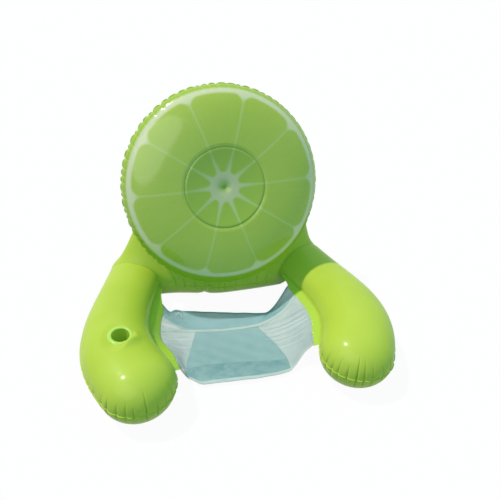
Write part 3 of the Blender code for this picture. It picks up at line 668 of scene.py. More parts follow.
def make_net(name, tone, shade, hole_cover, pitch=NET_PITCH, blotch_tone=None, hole_from=0.1):
    """Net of one colour. Past the map's zero line it may turn to a darker, blotchy tone."""
    material, tree, shader = start_material(name)
    values = {"Pitch": pitch, "Hole Cover": hole_cover, "Hole From": hole_from}
    net = use_group(tree, net_weave, values)
    wear = step_of(tree, net.outputs["Tone"], 0.30, 0.70)
    color = blend_of(tree, wear, srgb(*shade), srgb(*tone))
    if blotch_tone is not None:
        color = blend_of(tree, blotch_share(tree), color, srgb(*blotch_tone))
    tree.links.new(color, shader.inputs["Base Color"])
    tree.links.new(net.outputs["Cover"], shader.inputs["Alpha"])
    shader.inputs["Roughness"].default_value = NET_ROUGHNESS
    shader.inputs["Sheen Weight"].default_value = NET_SHEEN
    shader.inputs["Sheen Roughness"].default_value = NET_SHEEN_ROUGHNESS
    give_bump(tree, shader, net.outputs["Height"], YARN_HEIGHT, YARN_STRENGTH)
    return material


white_net = make_net("white_net", (202, 210, 212), (186, 198, 202), 0.12)
# painted light: the side panel in the arm's shade gets a bluer net with wider holes, so more of the
# bright floor shows through it and lifts its shade
shade_lifting_net = make_net("shade_lifting_white_net", (198, 212, 214), (184, 202, 206), 0.0, hole_from=-0.3)
# past the crease line the aqua net darkens in blotches
aqua_net = make_net("aqua_net", (156, 192, 198), (146, 184, 192), 0.25, blotch_tone=(116, 166, 176))
band_net = make_net("aqua_band_net", (150, 192, 203), (138, 185, 197), 0.18)
tape_cloth = make_net("white_tape", (210, 218, 220), (198, 207, 210), 1.0, TAPE_PITCH)
print("cloth:", [cloth.name for cloth in (white_net, shade_lifting_net, aqua_net, band_net, tape_cloth)])

# %% [markdown]
# ## The backrest
# Two round panels are welded together at the rim and again along a ring half way in, so the air
# makes a fat ring cushion with a shallow dish in its middle. The cross section of the ring is a
# superellipse, and turning it about the disc's axis gives the whole cushion. Round the rim the flat
# film has too much length for the smaller blown circle, and so it gathers in short sharp folds.

# %% The backrest's shape
SHIFT_Y = 0.08168
BACKREST_RADIUS = 0.401
BACKREST_CENTER = np.array([0.0, 0.205 + SHIFT_Y, 0.524])
BACKREST_RECLINE = math.radians(25.8)
BACKREST_CROWN = 0.080
CROWN_POWER = 2.3
DISH_DEPTH = 0.016
BOTTOM_SAG = 0.012
SEAM = 0.007
RIM_ALLOWANCE = 0.0042
SEAM_FACE = 0.00065
DISC_X = np.array([1.0, 0.0, 0.0])
DISC_UP = np.array([0.0, math.sin(BACKREST_RECLINE), math.cos(BACKREST_RECLINE)])
DISC_FACE = np.array([0.0, -math.cos(BACKREST_RECLINE), math.sin(BACKREST_RECLINE)])
DISC_STEPS = 640
WELD_GROOVE = 0.0042
DIMPLE_DEPTH, DIMPLE_RADIUS = 0.010, 0.020
CUSHION_SHARP = 62.0


def crown_height(radius):
    """Half thickness from the ring weld out to the rim: H * sqrt(1 - share ** power)."""
    share = (np.asarray(radius, float) - RING_WELD_RADIUS) / (BACKREST_RADIUS - RING_WELD_RADIUS)
    return BACKREST_CROWN * np.sqrt(1 - np.clip(share, 0.0, 1.0) ** CROWN_POWER)


def disc_profile(dish_rows, crown_rows):
    """(radius, height) of one face from its middle to its rim: a parabola, then the crown."""
    dish_radius = RING_WELD_RADIUS * np.sin(np.linspace(0.0, math.pi / 2, dish_rows))
    share = dish_radius / RING_WELD_RADIUS
    dish = BACKREST_CROWN - DISH_DEPTH * (1 - share**2)
    span = BACKREST_RADIUS - RING_WELD_RADIUS
    turn = np.linspace(0.0, math.pi / 2, crown_rows)[1:]
    crown_radius = RING_WELD_RADIUS + span * np.sin(turn) ** (2 / CROWN_POWER)
    crown = crown_height(crown_radius) + SEAM_FACE
    radius = np.concatenate([dish_radius, crown_radius])
    height = np.concatenate([dish, crown])
    weld = WELD_GROOVE * np.exp(-(((radius - RING_WELD_RADIUS) / WELD_GROOVE) ** 2))
    dimple = DIMPLE_DEPTH * np.exp(-((radius / DIMPLE_RADIUS) ** 2))
    return radius, height - weld - dimple


def sagged(up):
    """The disc hangs a little below its circle at the bottom, over the cradle's front."""
    return up - BOTTOM_SAG * smooth(-up, 0.08, BACKREST_RADIUS)


def disc_point(radius, height, turn):
    """A point at a radius and a turn clockwise from the top, at a height over the disc's plane."""
    across = (radius * np.sin(turn))[..., None] * DISC_X
    up = sagged(radius * np.cos(turn))[..., None] * DISC_UP
    return BACKREST_CENTER + across + up + np.asarray(height)[..., None] * DISC_FACE


# %% The backrest's cushion
BACK_LAND_RADIUS, BACK_LAND_DROP = 0.215, 0.0016
DISC_FOLDS, DISC_SEED = 76, 41
DISC_DEPTHS, DISC_REACHES, DISC_WIDTHS = (0.0050, 0.0100), (0.030, 0.068), (0.0034, 0.0056)
DISC_RIM_SHARES = (0.45, 1.0, 1.0, 0.45)
PRINT_LIFT = 0.010
PRINT_FROM = 0.004


def make_backrest():
    """The profile carried round the disc's axis, with the gathers pressed into it."""
    front_radius, front_height = disc_profile(26, 72)
    back_radius, back_height = disc_profile(16, 50)
    land = float(crown_height(BACK_LAND_RADIUS)) + SEAM_FACE - BACK_LAND_DROP
    back_height = np.minimum(back_height, land)
    rim = BACKREST_RADIUS + RIM_ALLOWANCE
    radius = np.concatenate([front_radius, [rim, rim], back_radius[::-1]])
    height = np.concatenate([front_height, [SEAM_FACE, -SEAM_FACE], -back_height[::-1]])
    turn = np.linspace(0.0, math.tau, DISC_STEPS + 1)
    radius, turn = np.meshgrid(radius, turn, indexing="ij")
    height = np.broadcast_to(height[:, None], radius.shape).copy()

    # gathers: each one pulls the film in along its normal, and pulls the rim in with it
    source = np.random.default_rng(DISC_SEED)
    places = np.cumsum(source.uniform(0.65, 1.35, DISC_FOLDS))
    places *= math.tau / places[-1]
    # the side at -X is gathered hardest, the side at +X hardly at all
    strong = 0.30 + 0.70 * smooth(-np.sin(places - 0.30), -0.70, 0.25)
    depths = source.uniform(*DISC_DEPTHS, DISC_FOLDS) * strong
    reaches = source.uniform(*DISC_REACHES, DISC_FOLDS)
    widths = source.uniform(*DISC_WIDTHS, DISC_FOLDS)
    # the same folds again a turn before and a turn after, so the first and the last one join up
    around = np.concatenate([places - math.tau, places, places + math.tau]) * BACKREST_RADIUS
    flat = disc_point(radius, height, turn)
    away = path_length(flat, 0)
    front_rows = len(front_radius)
    off_seam = np.maximum(away[front_rows - 1] - away, away - away[front_rows + 2])
    off_seam = np.maximum(off_seam, 0.0)
    three_times = (np.tile(values, 3) for values in (depths, reaches, widths))
    folds = creases(turn * BACKREST_RADIUS, off_seam, around, *three_times)
    rim_rows = slice(front_rows - 1, front_rows + 3)
    on_film = np.ones(radius.shape[0], bool)
    on_film[rim_rows] = False
    normal = normals_of(flat)
    outward = normal * np.sign((normal * (flat - BACKREST_CENTER)).sum(-1, keepdims=True))
    grid = flat - outward * (folds * on_film[:, None])[..., None]
    spoke = DISC_X * np.sin(turn)[..., None] + DISC_UP * np.cos(turn)[..., None]
    pull = folds[front_rows][None] * 1.1
    wave = 0.0010 * np.sin(turn[:1] * 61 + 2 * np.sin(turn[:1] * 7))
    rim_share = np.zeros(radius.shape[0])
    rim_share[rim_rows] = DISC_RIM_SHARES
    grid = grid - spoke * (rim_share[:, None] * pull)[..., None]
    grid = grid + DISC_FACE * (rim_share[:, None] * wave)[..., None]
    # the print ends a little higher at the bottom, where more of the rind shows
    print_up = sagged(radius * np.cos(turn))
    print_up = print_up - PRINT_LIFT * smooth(-print_up, 0.20, 0.40)
    place = np.stack([radius * np.sin(turn), print_up], -1)
    return surface("backrest", grid, citrus_film, place, sharp=CUSHION_SHARP)


def give_plain_back(piece):
    """Only the faces in front of the rim are printed: the back and the weld are plain film."""
    piece.data.materials.append(lime_film)
    middles = np.zeros(len(piece.data.polygons) * 3)
    piece.data.polygons.foreach_get("center", middles)
    behind = ((middles.reshape(-1, 3) - BACKREST_CENTER) @ DISC_FACE) < PRINT_FROM
    piece.data.polygons.foreach_set("material_index", behind.astype(np.int32))


backrest = make_backrest()
give_plain_back(backrest)
print("backrest faces:", len(backrest.data.polygons))

# %% [markdown]
# ## The arms
# An arm is two long panels welded along the side, blown to a fat tube that swells towards its round
# front end and stands flat on its foot. Ribs do it: each rib starts on the seam and rises to the
# centre line over a quarter of an ellipse, and another one falls to the floor. Round the front end
# the seam bends sharply, so the film gathers there in deep folds.

# %% The arms' shape
ARM_POINTS = np.array([(0.374, 0.170), (0.480, -0.077), (0.523, -0.234), (0.422, -0.425)])
ARM_POINTS = ARM_POINTS + np.array([0.0, SHIFT_Y])
ARM_HALF_WIDTHS = (0.112, 0.105, 0.1525, 0.145)
ARM_HEIGHT_SHARE = 0.815
ARM_CAP_SHARE = 0.93
FOOT_SHARE = 1.06
CUP_PLACE = np.array([-0.463, -0.268 + SHIFT_Y, 0.21929])
CUP_RADIUS = 0.033
RING_GAP = 0.00055
ARM_SEAM = 0.0035
TOP_POWER = 2.12
ARM_STATIONS, REAR_STATIONS, CAP_STATIONS = 180, 16, 250
REAR_PART = 0.05
ARM_LOW_STEPS, ARM_HIGH_STEPS = 34, 84


# %% The arms' centre line and ribs
def bezier(points, share):
    """A cubic curve: (1-t)^3 of the first point, 3t(1-t)^2, 3t^2(1-t) and t^3 of the last one."""
    t = np.asarray(share, float)[:, None]
    p = np.asarray(points, float).reshape(4, -1)
    first_half = (1 - t) ** 3 * p[0] + 3 * t * (1 - t) ** 2 * p[1]
    return first_half + 3 * t * t * (1 - t) * p[2] + t**3 * p[3]


def bezier_direction(points, share):
    """The unit slope of that curve."""
    t = np.asarray(share, float)[:, None]
    p = np.diff(np.asarray(points, float).reshape(4, -1), axis=0)
    slope = (1 - t) ** 2 * p[0] + 2 * t * (1 - t) * p[1] + t * t * p[2]
    return slope / np.linalg.norm(slope, axis=1)[:, None]


def arm_line(share):
    """Centre, forward direction, outward direction and half width of the arm at +X, in plan."""
    forward = bezier_direction(ARM_POINTS, share)
    outward = np.stack([-forward[:, 1], forward[:, 0]], -1)
    return bezier(ARM_POINTS, share), forward, outward, bezier(ARM_HALF_WIDTHS, share)[:, 0]


def both_sides(values, tip_count):
    """Values for the way forward, the round tip and the way back."""
    return np.concatenate([values, np.repeat(values[-1:], tip_count, 0), values[::-1]])


def arm_ribs():
    """Centres, reaches to the seam, half widths and distances from the ring.

    They run from the inner rear forward, round the tip and back to the outer rear.
    """
    rear = np.linspace(0.0, REAR_PART, REAR_STATIONS)[:-1]
    share = np.concatenate([rear, np.linspace(REAR_PART, 1.0, ARM_STATIONS)])
    center, forward, outward, half = arm_line(share)
    center[0] += forward[0] * RING_GAP
    turn = np.linspace(0.0, math.pi, CAP_STATIONS + 2)[1:-1, None]
    cap = -outward[-1] * np.cos(turn) + forward[-1] * np.sin(turn) * ARM_CAP_SHARE
    reach = outward * half[:, None]
    reaches = np.concatenate([-reach, cap * half[-1], reach[::-1]])
    back = path_length(center, 0)
    centers, halves, backs = (both_sides(values, len(cap)) for values in (center, half, back))
    return centers, reaches, halves, backs


def soft_floor(height, ease=0.004):
    """Heights kept over the floor with a rounded corner: (z + sqrt(z * z + e * e)) / 2."""
    return (height + np.sqrt(height**2 + ease**2)) / 2


# %% The arms' points
ARM_SEEDS = {-1: 17, 1: 29}
RING_DRAW, RING_DRAW_REACH = 0.022, 0.005
GATHERS_BEFORE, GATHERS_AFTER = 0.045, 0.14
GATHER_GAPS, GATHER_WIDTHS = (0.028, 0.052), (0.0022, 0.0034)
GATHER_SHIFT, GATHER_SPAN = 0.05, 0.21
GATHER_FADE = 1.3
GATHER_RIM_SHARES = (0.3, 0.9, 0.9, 0.3)
# folds reach less far down from a seam than up
DOWN_REACH = 0.8


def arm_grid(source):
    """Points of the arm at +X: rows round the outline, columns from the foot up to the top."""
    centers, reaches, halves, backs = arm_ribs()
    # the tube is drawn in where the ring weld holds it
    drawn = 1 - RING_DRAW * np.exp(-backs / RING_DRAW_REACH)
    reaches = reaches * drawn[:, None]
    heights = halves * ARM_HEIGHT_SHARE
    low = np.linspace(-math.pi / 2, 0.0, ARM_LOW_STEPS)
    high = np.linspace(0.0, math.pi / 2, ARM_HIGH_STEPS)
    full = 2 / TOP_POWER
    plan_low = centers[:, None] + reaches[:, None] * np.cos(low)[:, None]
    plan_high = centers[:, None] + reaches[:, None] * (np.cos(high) ** full)[:, None]
    rise_low = heights[:, None] * (1 + FOOT_SHARE * np.sin(low) * drawn[:, None]) - SEAM_FACE
    rise_high = heights[:, None] * (1 + np.sin(high) ** full * drawn[:, None]) + SEAM_FACE
    bottom = np.concatenate([plan_low, soft_floor(rise_low)[..., None]], -1)
    top = np.concatenate([plan_high, rise_high[..., None]], -1)
    outline = reaches / np.linalg.norm(reaches, axis=1)[:, None]
    edge = centers + reaches + outline * ARM_SEAM
    edge_low = np.concatenate([edge, (heights - SEAM_FACE)[:, None]], -1)[:, None]
    edge_high = np.concatenate([edge, (heights + SEAM_FACE)[:, None]], -1)[:, None]
    grid = np.concatenate([bottom, edge_low, edge_high, top], 1)
    middles = np.concatenate([centers, heights[:, None]], -1)[:, None]
    grid = gathered(grid, middles, outline, bottom.shape[1] - 1, source)
    grid[..., 2] = np.maximum(grid[..., 2], 0.0)
    return grid


def gathered(grid, middles, outline, seam_row, source):
    """Folds round the front end, deepest on the seam: film and weld are pulled in there."""
    around = path_length(grid[:, seam_row], 0)[:, None]
    straight = ARM_STATIONS + REAR_STATIONS - 1
    cap_from, cap_to = around[straight, 0], around[-straight, 0]
    places = [cap_from - GATHERS_BEFORE]
    while places[-1] < cap_to + GATHERS_AFTER:
        places.append(places[-1] + source.uniform(*GATHER_GAPS))
    places = np.array(places)
    middle = (cap_from + cap_to) / 2 + GATHER_SHIFT
    strong = np.exp(-(((places - middle) / GATHER_SPAN) ** 4))
    depths = (0.006 + source.uniform(0.0, 0.0080, len(places))) * (0.3 + 0.7 * strong)
    reaches_up = (0.055 + source.uniform(0.0, 0.065, len(places))) * (0.45 + 0.55 * strong)
    widths = source.uniform(*GATHER_WIDTHS, len(places))
    up = path_length(grid[:, seam_row + 3 :], 1)
    down = path_length(grid[:, : seam_row + 1][:, ::-1], 1)[:, ::-1]
    folds_up = creases(around, up, places, depths, reaches_up, widths, GATHER_FADE)
    reaches_down = reaches_up * DOWN_REACH
    folds_down = creases(around, down, places, depths, reaches_down, widths, GATHER_FADE)
    folds = np.concatenate([folds_down, folds_down[:, -1:], folds_up[:, :1], folds_up], 1)
    normal = normals_of(grid)
    normal *= np.sign((normal * (middles - grid)).sum(-1, keepdims=True))
    rim = slice(seam_row, seam_row + 4)
    off_rim = np.ones(grid.shape[1])
    off_rim[rim] = 0.0
    grid = grid + normal * (folds * off_rim)[..., None]
    rim_pull = np.zeros(grid.shape[1])
    rim_pull[rim] = GATHER_RIM_SHARES
    pull = (folds[:, seam_row][:, None] * rim_pull)[..., None]
    flat = np.concatenate([outline, np.zeros((len(outline), 1))], -1)[:, None]
    return grid - flat * pull


# %% The film round the cup, and both arms
BULGE_WAY = np.array([0.609, -0.793])
BULGE_HEIGHT, BULGE_PLACE, BULGE_WIDTH = 0.016, 0.055, 0.021
BULGE_EDGE = (0.038, 0.048)
SINK_START, SINK_START_LESS = 0.050, 0.013
SINK_REACH, SINK_REACH_LESS = 0.068, 0.046
TOP_BELOW_RIM = 0.065
PINCH_FROM = np.array([0.068, 0.008])
PINCH_TO = np.array([0.120, -0.008])
PINCH_DEPTH, PINCH_WIDTH = 0.0022, 0.0026
CUTTER_ALLOWANCE = 0.0012
CUTTER_DEPTH, CUTTER_DROP = 0.14, 0.0262


def sunk_for_cup(grid):
    """The film round the cup holder is drawn down to its rim, and puffs up beside it on one side.

    Away from the rim the film keeps smooth(distance, start, end) of its height over the rim. On the
    bulge's side start and end are closer to the rim, and a round hill is added.
    """
    away = grid[..., :2] - CUP_PLACE[:2]
    off = np.linalg.norm(away, axis=-1)
    side = np.clip((away @ BULGE_WAY) / np.maximum(off, 1e-9), 0.0, 1.0) ** 2
    over = np.maximum(grid[..., 2] - CUP_PLACE[2], 0.0)
    past_start = off - SINK_START + SINK_START_LESS * side
    keep = smooth(past_start / (SINK_REACH - SINK_REACH_LESS * side), 0.0, 1.0)
    round_hill = np.exp(-(((off - BULGE_PLACE) / BULGE_WIDTH) ** 2))
    hill = BULGE_HEIGHT * side * round_hill * smooth(off, *BULGE_EDGE)
    # a short pinched crease runs from the rim towards the seat
    line = PINCH_TO - PINCH_FROM
    share = np.clip(((away - PINCH_FROM) @ line) / (line @ line), 0.0, 1.0)
    gap = np.linalg.norm(away - PINCH_FROM - share[..., None] * line, axis=-1)
    pinch = PINCH_DEPTH * np.exp(-gap / PINCH_WIDTH) * (1 - 0.6 * share)
    top = grid[..., 2] > CUP_PLACE[2] - TOP_BELOW_RIM
    grid = grid.copy()
    grid[..., 2] += (hill - pinch - over * (1 - keep)) * top
    return grid


def cut_cup_hole(arm):
    """A Boolean modifier takes a cylinder out of the arm, and is then made part of its mesh."""
    bpy.ops.mesh.primitive_cylinder_add(
        vertices=96,
        radius=CUP_RADIUS + CUTTER_ALLOWANCE,
        depth=CUTTER_DEPTH,
        location=(*CUP_PLACE[:2], CUP_PLACE[2] - CUTTER_DROP),
    )
    cutter = bpy.context.object
    modifier = arm.modifiers.new("cup_hole", "BOOLEAN")
    modifier.operation = "DIFFERENCE"
    modifier.solver = "EXACT"
    modifier.object = cutter
    apply_modifiers(arm)
    bpy.data.objects.remove(cutter)
    arm.data.shade_smooth()
    arm.data.set_sharp_from_angle(angle=math.radians(CUSHION_SHARP))


def make_arm(side, name):
    grid = arm_grid(np.random.default_rng(ARM_SEEDS[side]))
    grid[..., 0] *= side
    if side < 0:
        grid = sunk_for_cup(grid)
    closing = np.concatenate([grid, grid[:1]], 0)
    arm = surface(name, closing, lime_film, sharp=CUSHION_SHARP)
    if side < 0:
        cut_cup_hole(arm)
    return arm


left_arm = make_arm(-1, "left_arm")
right_arm = make_arm(1, "right_arm")
print("arm faces:", len(left_arm.data.polygons), len(right_arm.data.polygons))

# %% [markdown]
# ## The cradle
# The cradle is one tube that runs from arm to arm behind the backrest. Its two ends rise to horns
# beside the disc, and its middle swells against the disc's back. Front and rear seams are two
# curves in plan, the cross section spans them as half an ellipse, and a hump that depends on the
# place along the tube is added to it. Wherever a point would lie inside the backrest, it is pushed
# back to the disc's rear face, as the soft film is.

# %% The cradle's shape
CRADLE_FRONT_Y = 0.092 + SHIFT_Y
CRADLE_REAR_Y = 0.325 + SHIFT_Y
CRADLE_CORNER = (0.465, 0.315 + SHIFT_Y)
CRADLE_TURN = (0.340, 0.338 + SHIFT_Y)
CRADLE_CREASE = (0.225, 0.100 + SHIFT_Y)
CRADLE_SWELL = 0.110
HORN_RISE = 0.215
HORN_WIDTH = 0.10
HORN_SHARPNESS, SWELL_SHARPNESS = 6.0, 1.5
HORN_LEAN = np.array([-0.040, 0.070])
LAND_ANGLE = math.radians(48.0)
LAND_MIDDLE = np.array([0.0, 0.33046, 0.26773])
CRADLE_SAG = 0.022
SAG_FROM_TO = (-0.20, 0.02)
NOTCH_PLACE = 0.064
RIGHT_HORN_EXTRA = 0.060
RIGHT_HORN_LEAN = np.array([0.050, 0.0])
HORN_PLACES = {1: 0.225, -1: 0.27}
NOTCH_LIFT, NOTCH_WIDTH = 0.0075, 0.014
CRADLE_DRAW, CRADLE_DRAW_REACH = 0.055, 0.008
REST_GAP = 0.0006
FORWARD_SAG = np.array([0.0, -0.5])
CRADLE_HIGH_STEPS, CRADLE_LOW_STEPS = 96, 60
LAND_EDGE = (0.055, 0.100)


def cradle_lines(share):
    """Front and rear seam in plan for the half at +X, from the arm's ring to the middle."""
    center, forward, outward, half = arm_line([0.0])
    ring = center[0] - forward[0] * RING_GAP
    front_ring = ring - outward[0] * half[0]
    rear_ring = ring + outward[0] * half[0]
    third = (CRADLE_CREASE[0] / 2, CRADLE_FRONT_Y)
    front = bezier((front_ring, CRADLE_CREASE, third, (0.0, CRADLE_FRONT_Y)), share)
    rear = bezier((rear_ring, CRADLE_CORNER, CRADLE_TURN, (0.0, CRADLE_REAR_Y)), share)
    return front, rear


def cradle_rise(share, side):
    """The horn grows as 1 / (1 + x * x) up to its tip, then passes smoothly into the swell."""
    tip = HORN_PLACES[side]
    offset = np.minimum(share - tip, 0.0) / HORN_WIDTH
    foot = 1 / (1 + (tip / HORN_WIDTH) ** 2)
    horn = (1 / (1 + offset**2) - foot) / (1 - foot)
    return horn, smooth(share, tip, 1.0)


def outside_backrest(points, clearance):
    """Points pushed back along the disc's axis until they clear its rear face."""
    local = points - BACKREST_CENTER
    x, up, face = local @ DISC_X, local @ DISC_UP, local @ DISC_FACE
    radius = np.hypot(x, up + BOTTOM_SAG * smooth(-up, 0.08, BACKREST_RADIUS + BOTTOM_SAG))
    inside = radius < BACKREST_RADIUS + SEAM + clearance
    depth = crown_height(radius - clearance) + SEAM_FACE + clearance
    face = np.where(inside, np.minimum(face, -depth), face)
    in_plane = BACKREST_CENTER + x[..., None] * DISC_X + up[..., None] * DISC_UP
    return in_plane + face[..., None] * DISC_FACE


# %% The cradle's points
def cradle_half(side):
    """One half of the tube, from an arm's ring to the middle, with the seam sagging in front.

    The sag sits on the front seam and fades towards the rear one as (1 + cos(turn)) / 2.
    """
    share = np.concatenate([np.linspace(0.0, 0.03, 10)[:-1], np.linspace(0.03, 1.0, 190)])
    front, rear = cradle_lines(share)
    seam = ARM_HALF_WIDTHS[0] * ARM_HEIGHT_SHARE
    middle, half = (front + rear) / 2, (rear - front) / 2
    drawn = (1 - CRADLE_DRAW * np.exp(-path_length(middle, 0) / CRADLE_DRAW_REACH))[:, None]
    half = half * drawn
    sag = CRADLE_SAG * smooth(side * front[:, 0], *SAG_FROM_TO) * smooth(share, 0.0, 0.18)
    # one fold lifts the seam in a short notch
    sag = sag - NOTCH_LIFT * np.exp(-(((side * front[:, 0] + NOTCH_PLACE) / NOTCH_WIDTH) ** 2))
    high = np.linspace(0.0, math.pi, CRADLE_HIGH_STEPS)
    low = np.linspace(math.pi, 0.0, CRADLE_LOW_STEPS)
    horn, swell = cradle_rise(share, side)
    sharpness = HORN_SHARPNESS + (SWELL_SHARPNESS - HORN_SHARPNESS) * swell
    peak = np.sin(high) ** sharpness[:, None]
    rise = HORN_RISE + (RIGHT_HORN_EXTRA if side > 0 else 0.0)
    lean = HORN_LEAN + (RIGHT_HORN_LEAN if side > 0 else 0.0)
    hump = (rise * horn + (CRADLE_SWELL - rise) * swell)[:, None] * peak

    def base(turn):
        return sag[:, None] * (1 + np.cos(turn)) / 2

    plan_high = middle[:, None] - half[:, None] * np.cos(high)[:, None]
    plan_high = plan_high + ((horn - swell)[:, None] * peak)[..., None] * lean
    plan_high = plan_high + base(high)[..., None] * FORWARD_SAG
    rise_high = seam - base(high) + seam * drawn * np.sin(high) + hump + SEAM_FACE
    top = np.concatenate([plan_high, rise_high[..., None]], -1)
    top[:, 1:-1] = outside_backrest(top[:, 1:-1], REST_GAP)
    plan_low = middle[:, None] - half[:, None] * np.cos(low)[:, None]
    plan_low = plan_low + base(low)[..., None] * FORWARD_SAG
    rise_low = seam - base(low) - seam * drawn * FOOT_SHARE * np.sin(low) - SEAM_FACE
    bottom = np.concatenate([plan_low, soft_floor(rise_low)[..., None]], -1)
    across = half / np.linalg.norm(half, axis=1)[:, None]
    rims = []
    for line, way, turn, step in (
        (rear, 1, math.pi, 1),
        (rear, 1, math.pi, -1),
        (front, -1, 0.0, -1),
        (front, -1, 0.0, 1),
    ):
        drop = base(np.array([turn]))
        plan = line + way * across * ARM_SEAM + drop * FORWARD_SAG
        rims.append(np.concatenate([plan, seam + step * SEAM_FACE - drop], -1)[:, None])
    grid = np.concatenate([top, rims[0], rims[1], bottom, rims[2], rims[3], top[:, :1]], 1)
    grid[..., 0] *= side
    return grid, top.shape[1], bottom.shape[1]


# %% The cradle's folds
CRADLE_FOLDS = (-0.205, -0.168, -0.122, -0.080, -0.064, -0.020, 0.004, 0.050, 0.104, 0.150, 0.196)
CRADLE_SEED = 5
CRADLE_DEPTHS, CRADLE_REACHES, CRADLE_WIDTHS = (0.0060, 0.0110), (0.060, 0.100), (0.0022, 0.0032)


def cradle_grid(source):
    """Both halves, which end in the middle, where their sags and humps are the same."""
    right, top_columns, bottom_columns = cradle_half(1)
    left = cradle_half(-1)[0]
    grid = np.concatenate([right[:-1], left[::-1]], 0)
    return cradle_folds(grid, top_columns, bottom_columns, source)


def cradle_folds(grid, top_columns, bottom_columns, source):
    """Gathers off the front seam, where the tube bends round the seat."""
    along = grid[:, :1, 0]
    places = np.array(CRADLE_FOLDS)
    depths = source.uniform(*CRADLE_DEPTHS, len(places))
    reaches = source.uniform(*CRADLE_REACHES, len(places))
    widths = source.uniform(*CRADLE_WIDTHS, len(places))
    up = path_length(grid[:, :top_columns], 1)
    folds = np.zeros(grid.shape[:2])
    folds[:, :top_columns] = creases(along, up, places, depths, reaches, widths, 1.2)
    below = slice(top_columns + 2, top_columns + 2 + bottom_columns)
    down = path_length(grid[:, below][:, ::-1], 1)[:, ::-1]
    folds[:, below] = creases(along, down, places, depths, reaches * DOWN_REACH, widths)
    folds[:, 0] = folds[:, -1] = 0.0
    plan = grid[:, :top_columns].mean(1, keepdims=True) * (1, 1, 0)
    middle = plan + (0, 0, ARM_HALF_WIDTHS[0] * 0.9)
    normal = normals_of(grid)
    normal *= np.sign((normal * (middle - grid)).sum(-1, keepdims=True))
    return grid + normal * folds[..., None]


def flattened_for_valve(grid):
    """The rear of the tube pressed flat round the air valve, with a soft edge."""
    normal = np.array([0.0, math.cos(LAND_ANGLE), math.sin(LAND_ANGLE)])
    over = np.maximum((grid - LAND_MIDDLE) @ normal, 0.0)
    near = 1 - smooth(np.abs(grid[..., 0]), *LAND_EDGE)
    return grid - (over * near)[..., None] * normal


def with_end_poles(grid):
    """The two open ends closed to a point in the middle of their section."""
    first = np.broadcast_to(grid[0].mean(0), grid[0].shape)[None]
    last = np.broadcast_to(grid[-1].mean(0), grid[-1].shape)[None]
    return np.concatenate([first, grid, last], 0)


cradle_points = flattened_for_valve(cradle_grid(np.random.default_rng(CRADLE_SEED)))
cradle = surface("cradle", with_end_poles(cradle_points), lime_film, sharp=CUSHION_SHARP)
print("cradle faces:", len(cradle.data.polygons))

# %% [markdown]
# ## Ring welds
# Where an arm meets the cradle, both tubes are welded to a web inside, and the cut edge of that web
# stands a few millimetres proud as a thin bead. Each bead is a thin oval plate in the plane of the
# ring: the section's own outline, grown a little, with a small thickness.


# %% Ring welds
RING_SHRINK = 0.968
RING_FLOOR_GAP, RING_FLOOR_EASE = 0.001, 0.002


def ring_outline(side, grow, steps=160):
    """The ring's oval in its plane, flattened on the floor, grown outwards by a distance."""
    center, forward, outward, half = arm_line([0.0])
    seam = half[0] * ARM_HEIGHT_SHARE
    turn = np.linspace(0.0, math.tau, steps + 1)
    across = (half[0] * RING_SHRINK + grow) * np.cos(turn)
    up = seam + (seam * RING_SHRINK + grow) * np.sin(turn)
    up = soft_floor(up - RING_FLOOR_GAP, RING_FLOOR_EASE) + RING_FLOOR_GAP
    plan = center[0] + across[:, None] * outward[0]
    points = np.concatenate([plan, up[:, None]], -1)
    points[:, 0] *= side
    heading = np.array([forward[0, 0] * side, forward[0, 1], 0.0])
    return points, heading


def make_ring_weld(side, name):
    """Rows from the middle of one face over the bead to the middle of the other face."""
    middle, heading = ring_outline(side, 0.0)
    center = np.broadcast_to(middle.mean(0), middle.shape)
    edge, _ = ring_outline(side, 0.0026)
    bead, _ = ring_outline(side, 0.0016)
    thick = 0.0011 * heading
    rows = [center - thick * 0.3, middle - thick * 0.3, bead - thick, edge - thick * 0.5]
    rows += [edge + thick * 0.5, bead + thick, middle + thick * 0.3, center + thick * 0.3]
    return surface(name, np.stack(rows), strip_film, sharp=40.0)


left_ring = make_ring_weld(-1, "left_ring_weld")
right_ring = make_ring_weld(1, "right_ring_weld")
print("ring weld points:", len(left_ring.data.vertices))

# %% [markdown]
# ## The cup holder
# A tapered sleeve of film with a floor is welded into the left arm, and a paler, thicker ring
# covers its edge. All of it is turned about the sleeve's axis: a closed outline of radius and
# height is carried round in a circle.


# %% Turned pieces
def turned(name, outline, matrix, material, steps=96, sharp=45.0):
    """A closed outline of (radius, height) points carried round the Z axis of a matrix."""
    points = np.array(outline, float)
    points = np.concatenate([points, points[:1]])
    turn = np.linspace(0.0, math.tau, steps + 1)
    ring = np.stack(
        [
            points[:, None, 0] * np.cos(turn),
            points[:, None, 0] * np.sin(turn),
            np.broadcast_to(points[:, None, 1], (len(points), len(turn))),
        ],
        -1,
    )
    axes = np.array(matrix)
    return surface(name, ring @ axes[:3, :3].T + axes[:3, 3], material, sharp=sharp)


def rounded(points, radius, steps=5):
    """A closed outline with each corner swapped for a small quadratic bend."""
    corners = np.array(points, float)
    t = np.linspace(0.0, 1.0, steps)[:, None]
    bends = []
    for before, corner, after in zip(np.roll(corners, 1, 0), corners, np.roll(corners, -1, 0)):
        first, second = before - corner, after - corner
        near = min(radius, 0.49 * np.linalg.norm(first), 0.49 * np.linalg.norm(second))
        start = corner + first / np.linalg.norm(first) * near
        end = corner + second / np.linalg.norm(second) * near
        bends.append((1 - t) ** 2 * start + 2 * t * (1 - t) * corner + t * t * end)
    return np.concatenate(bends)


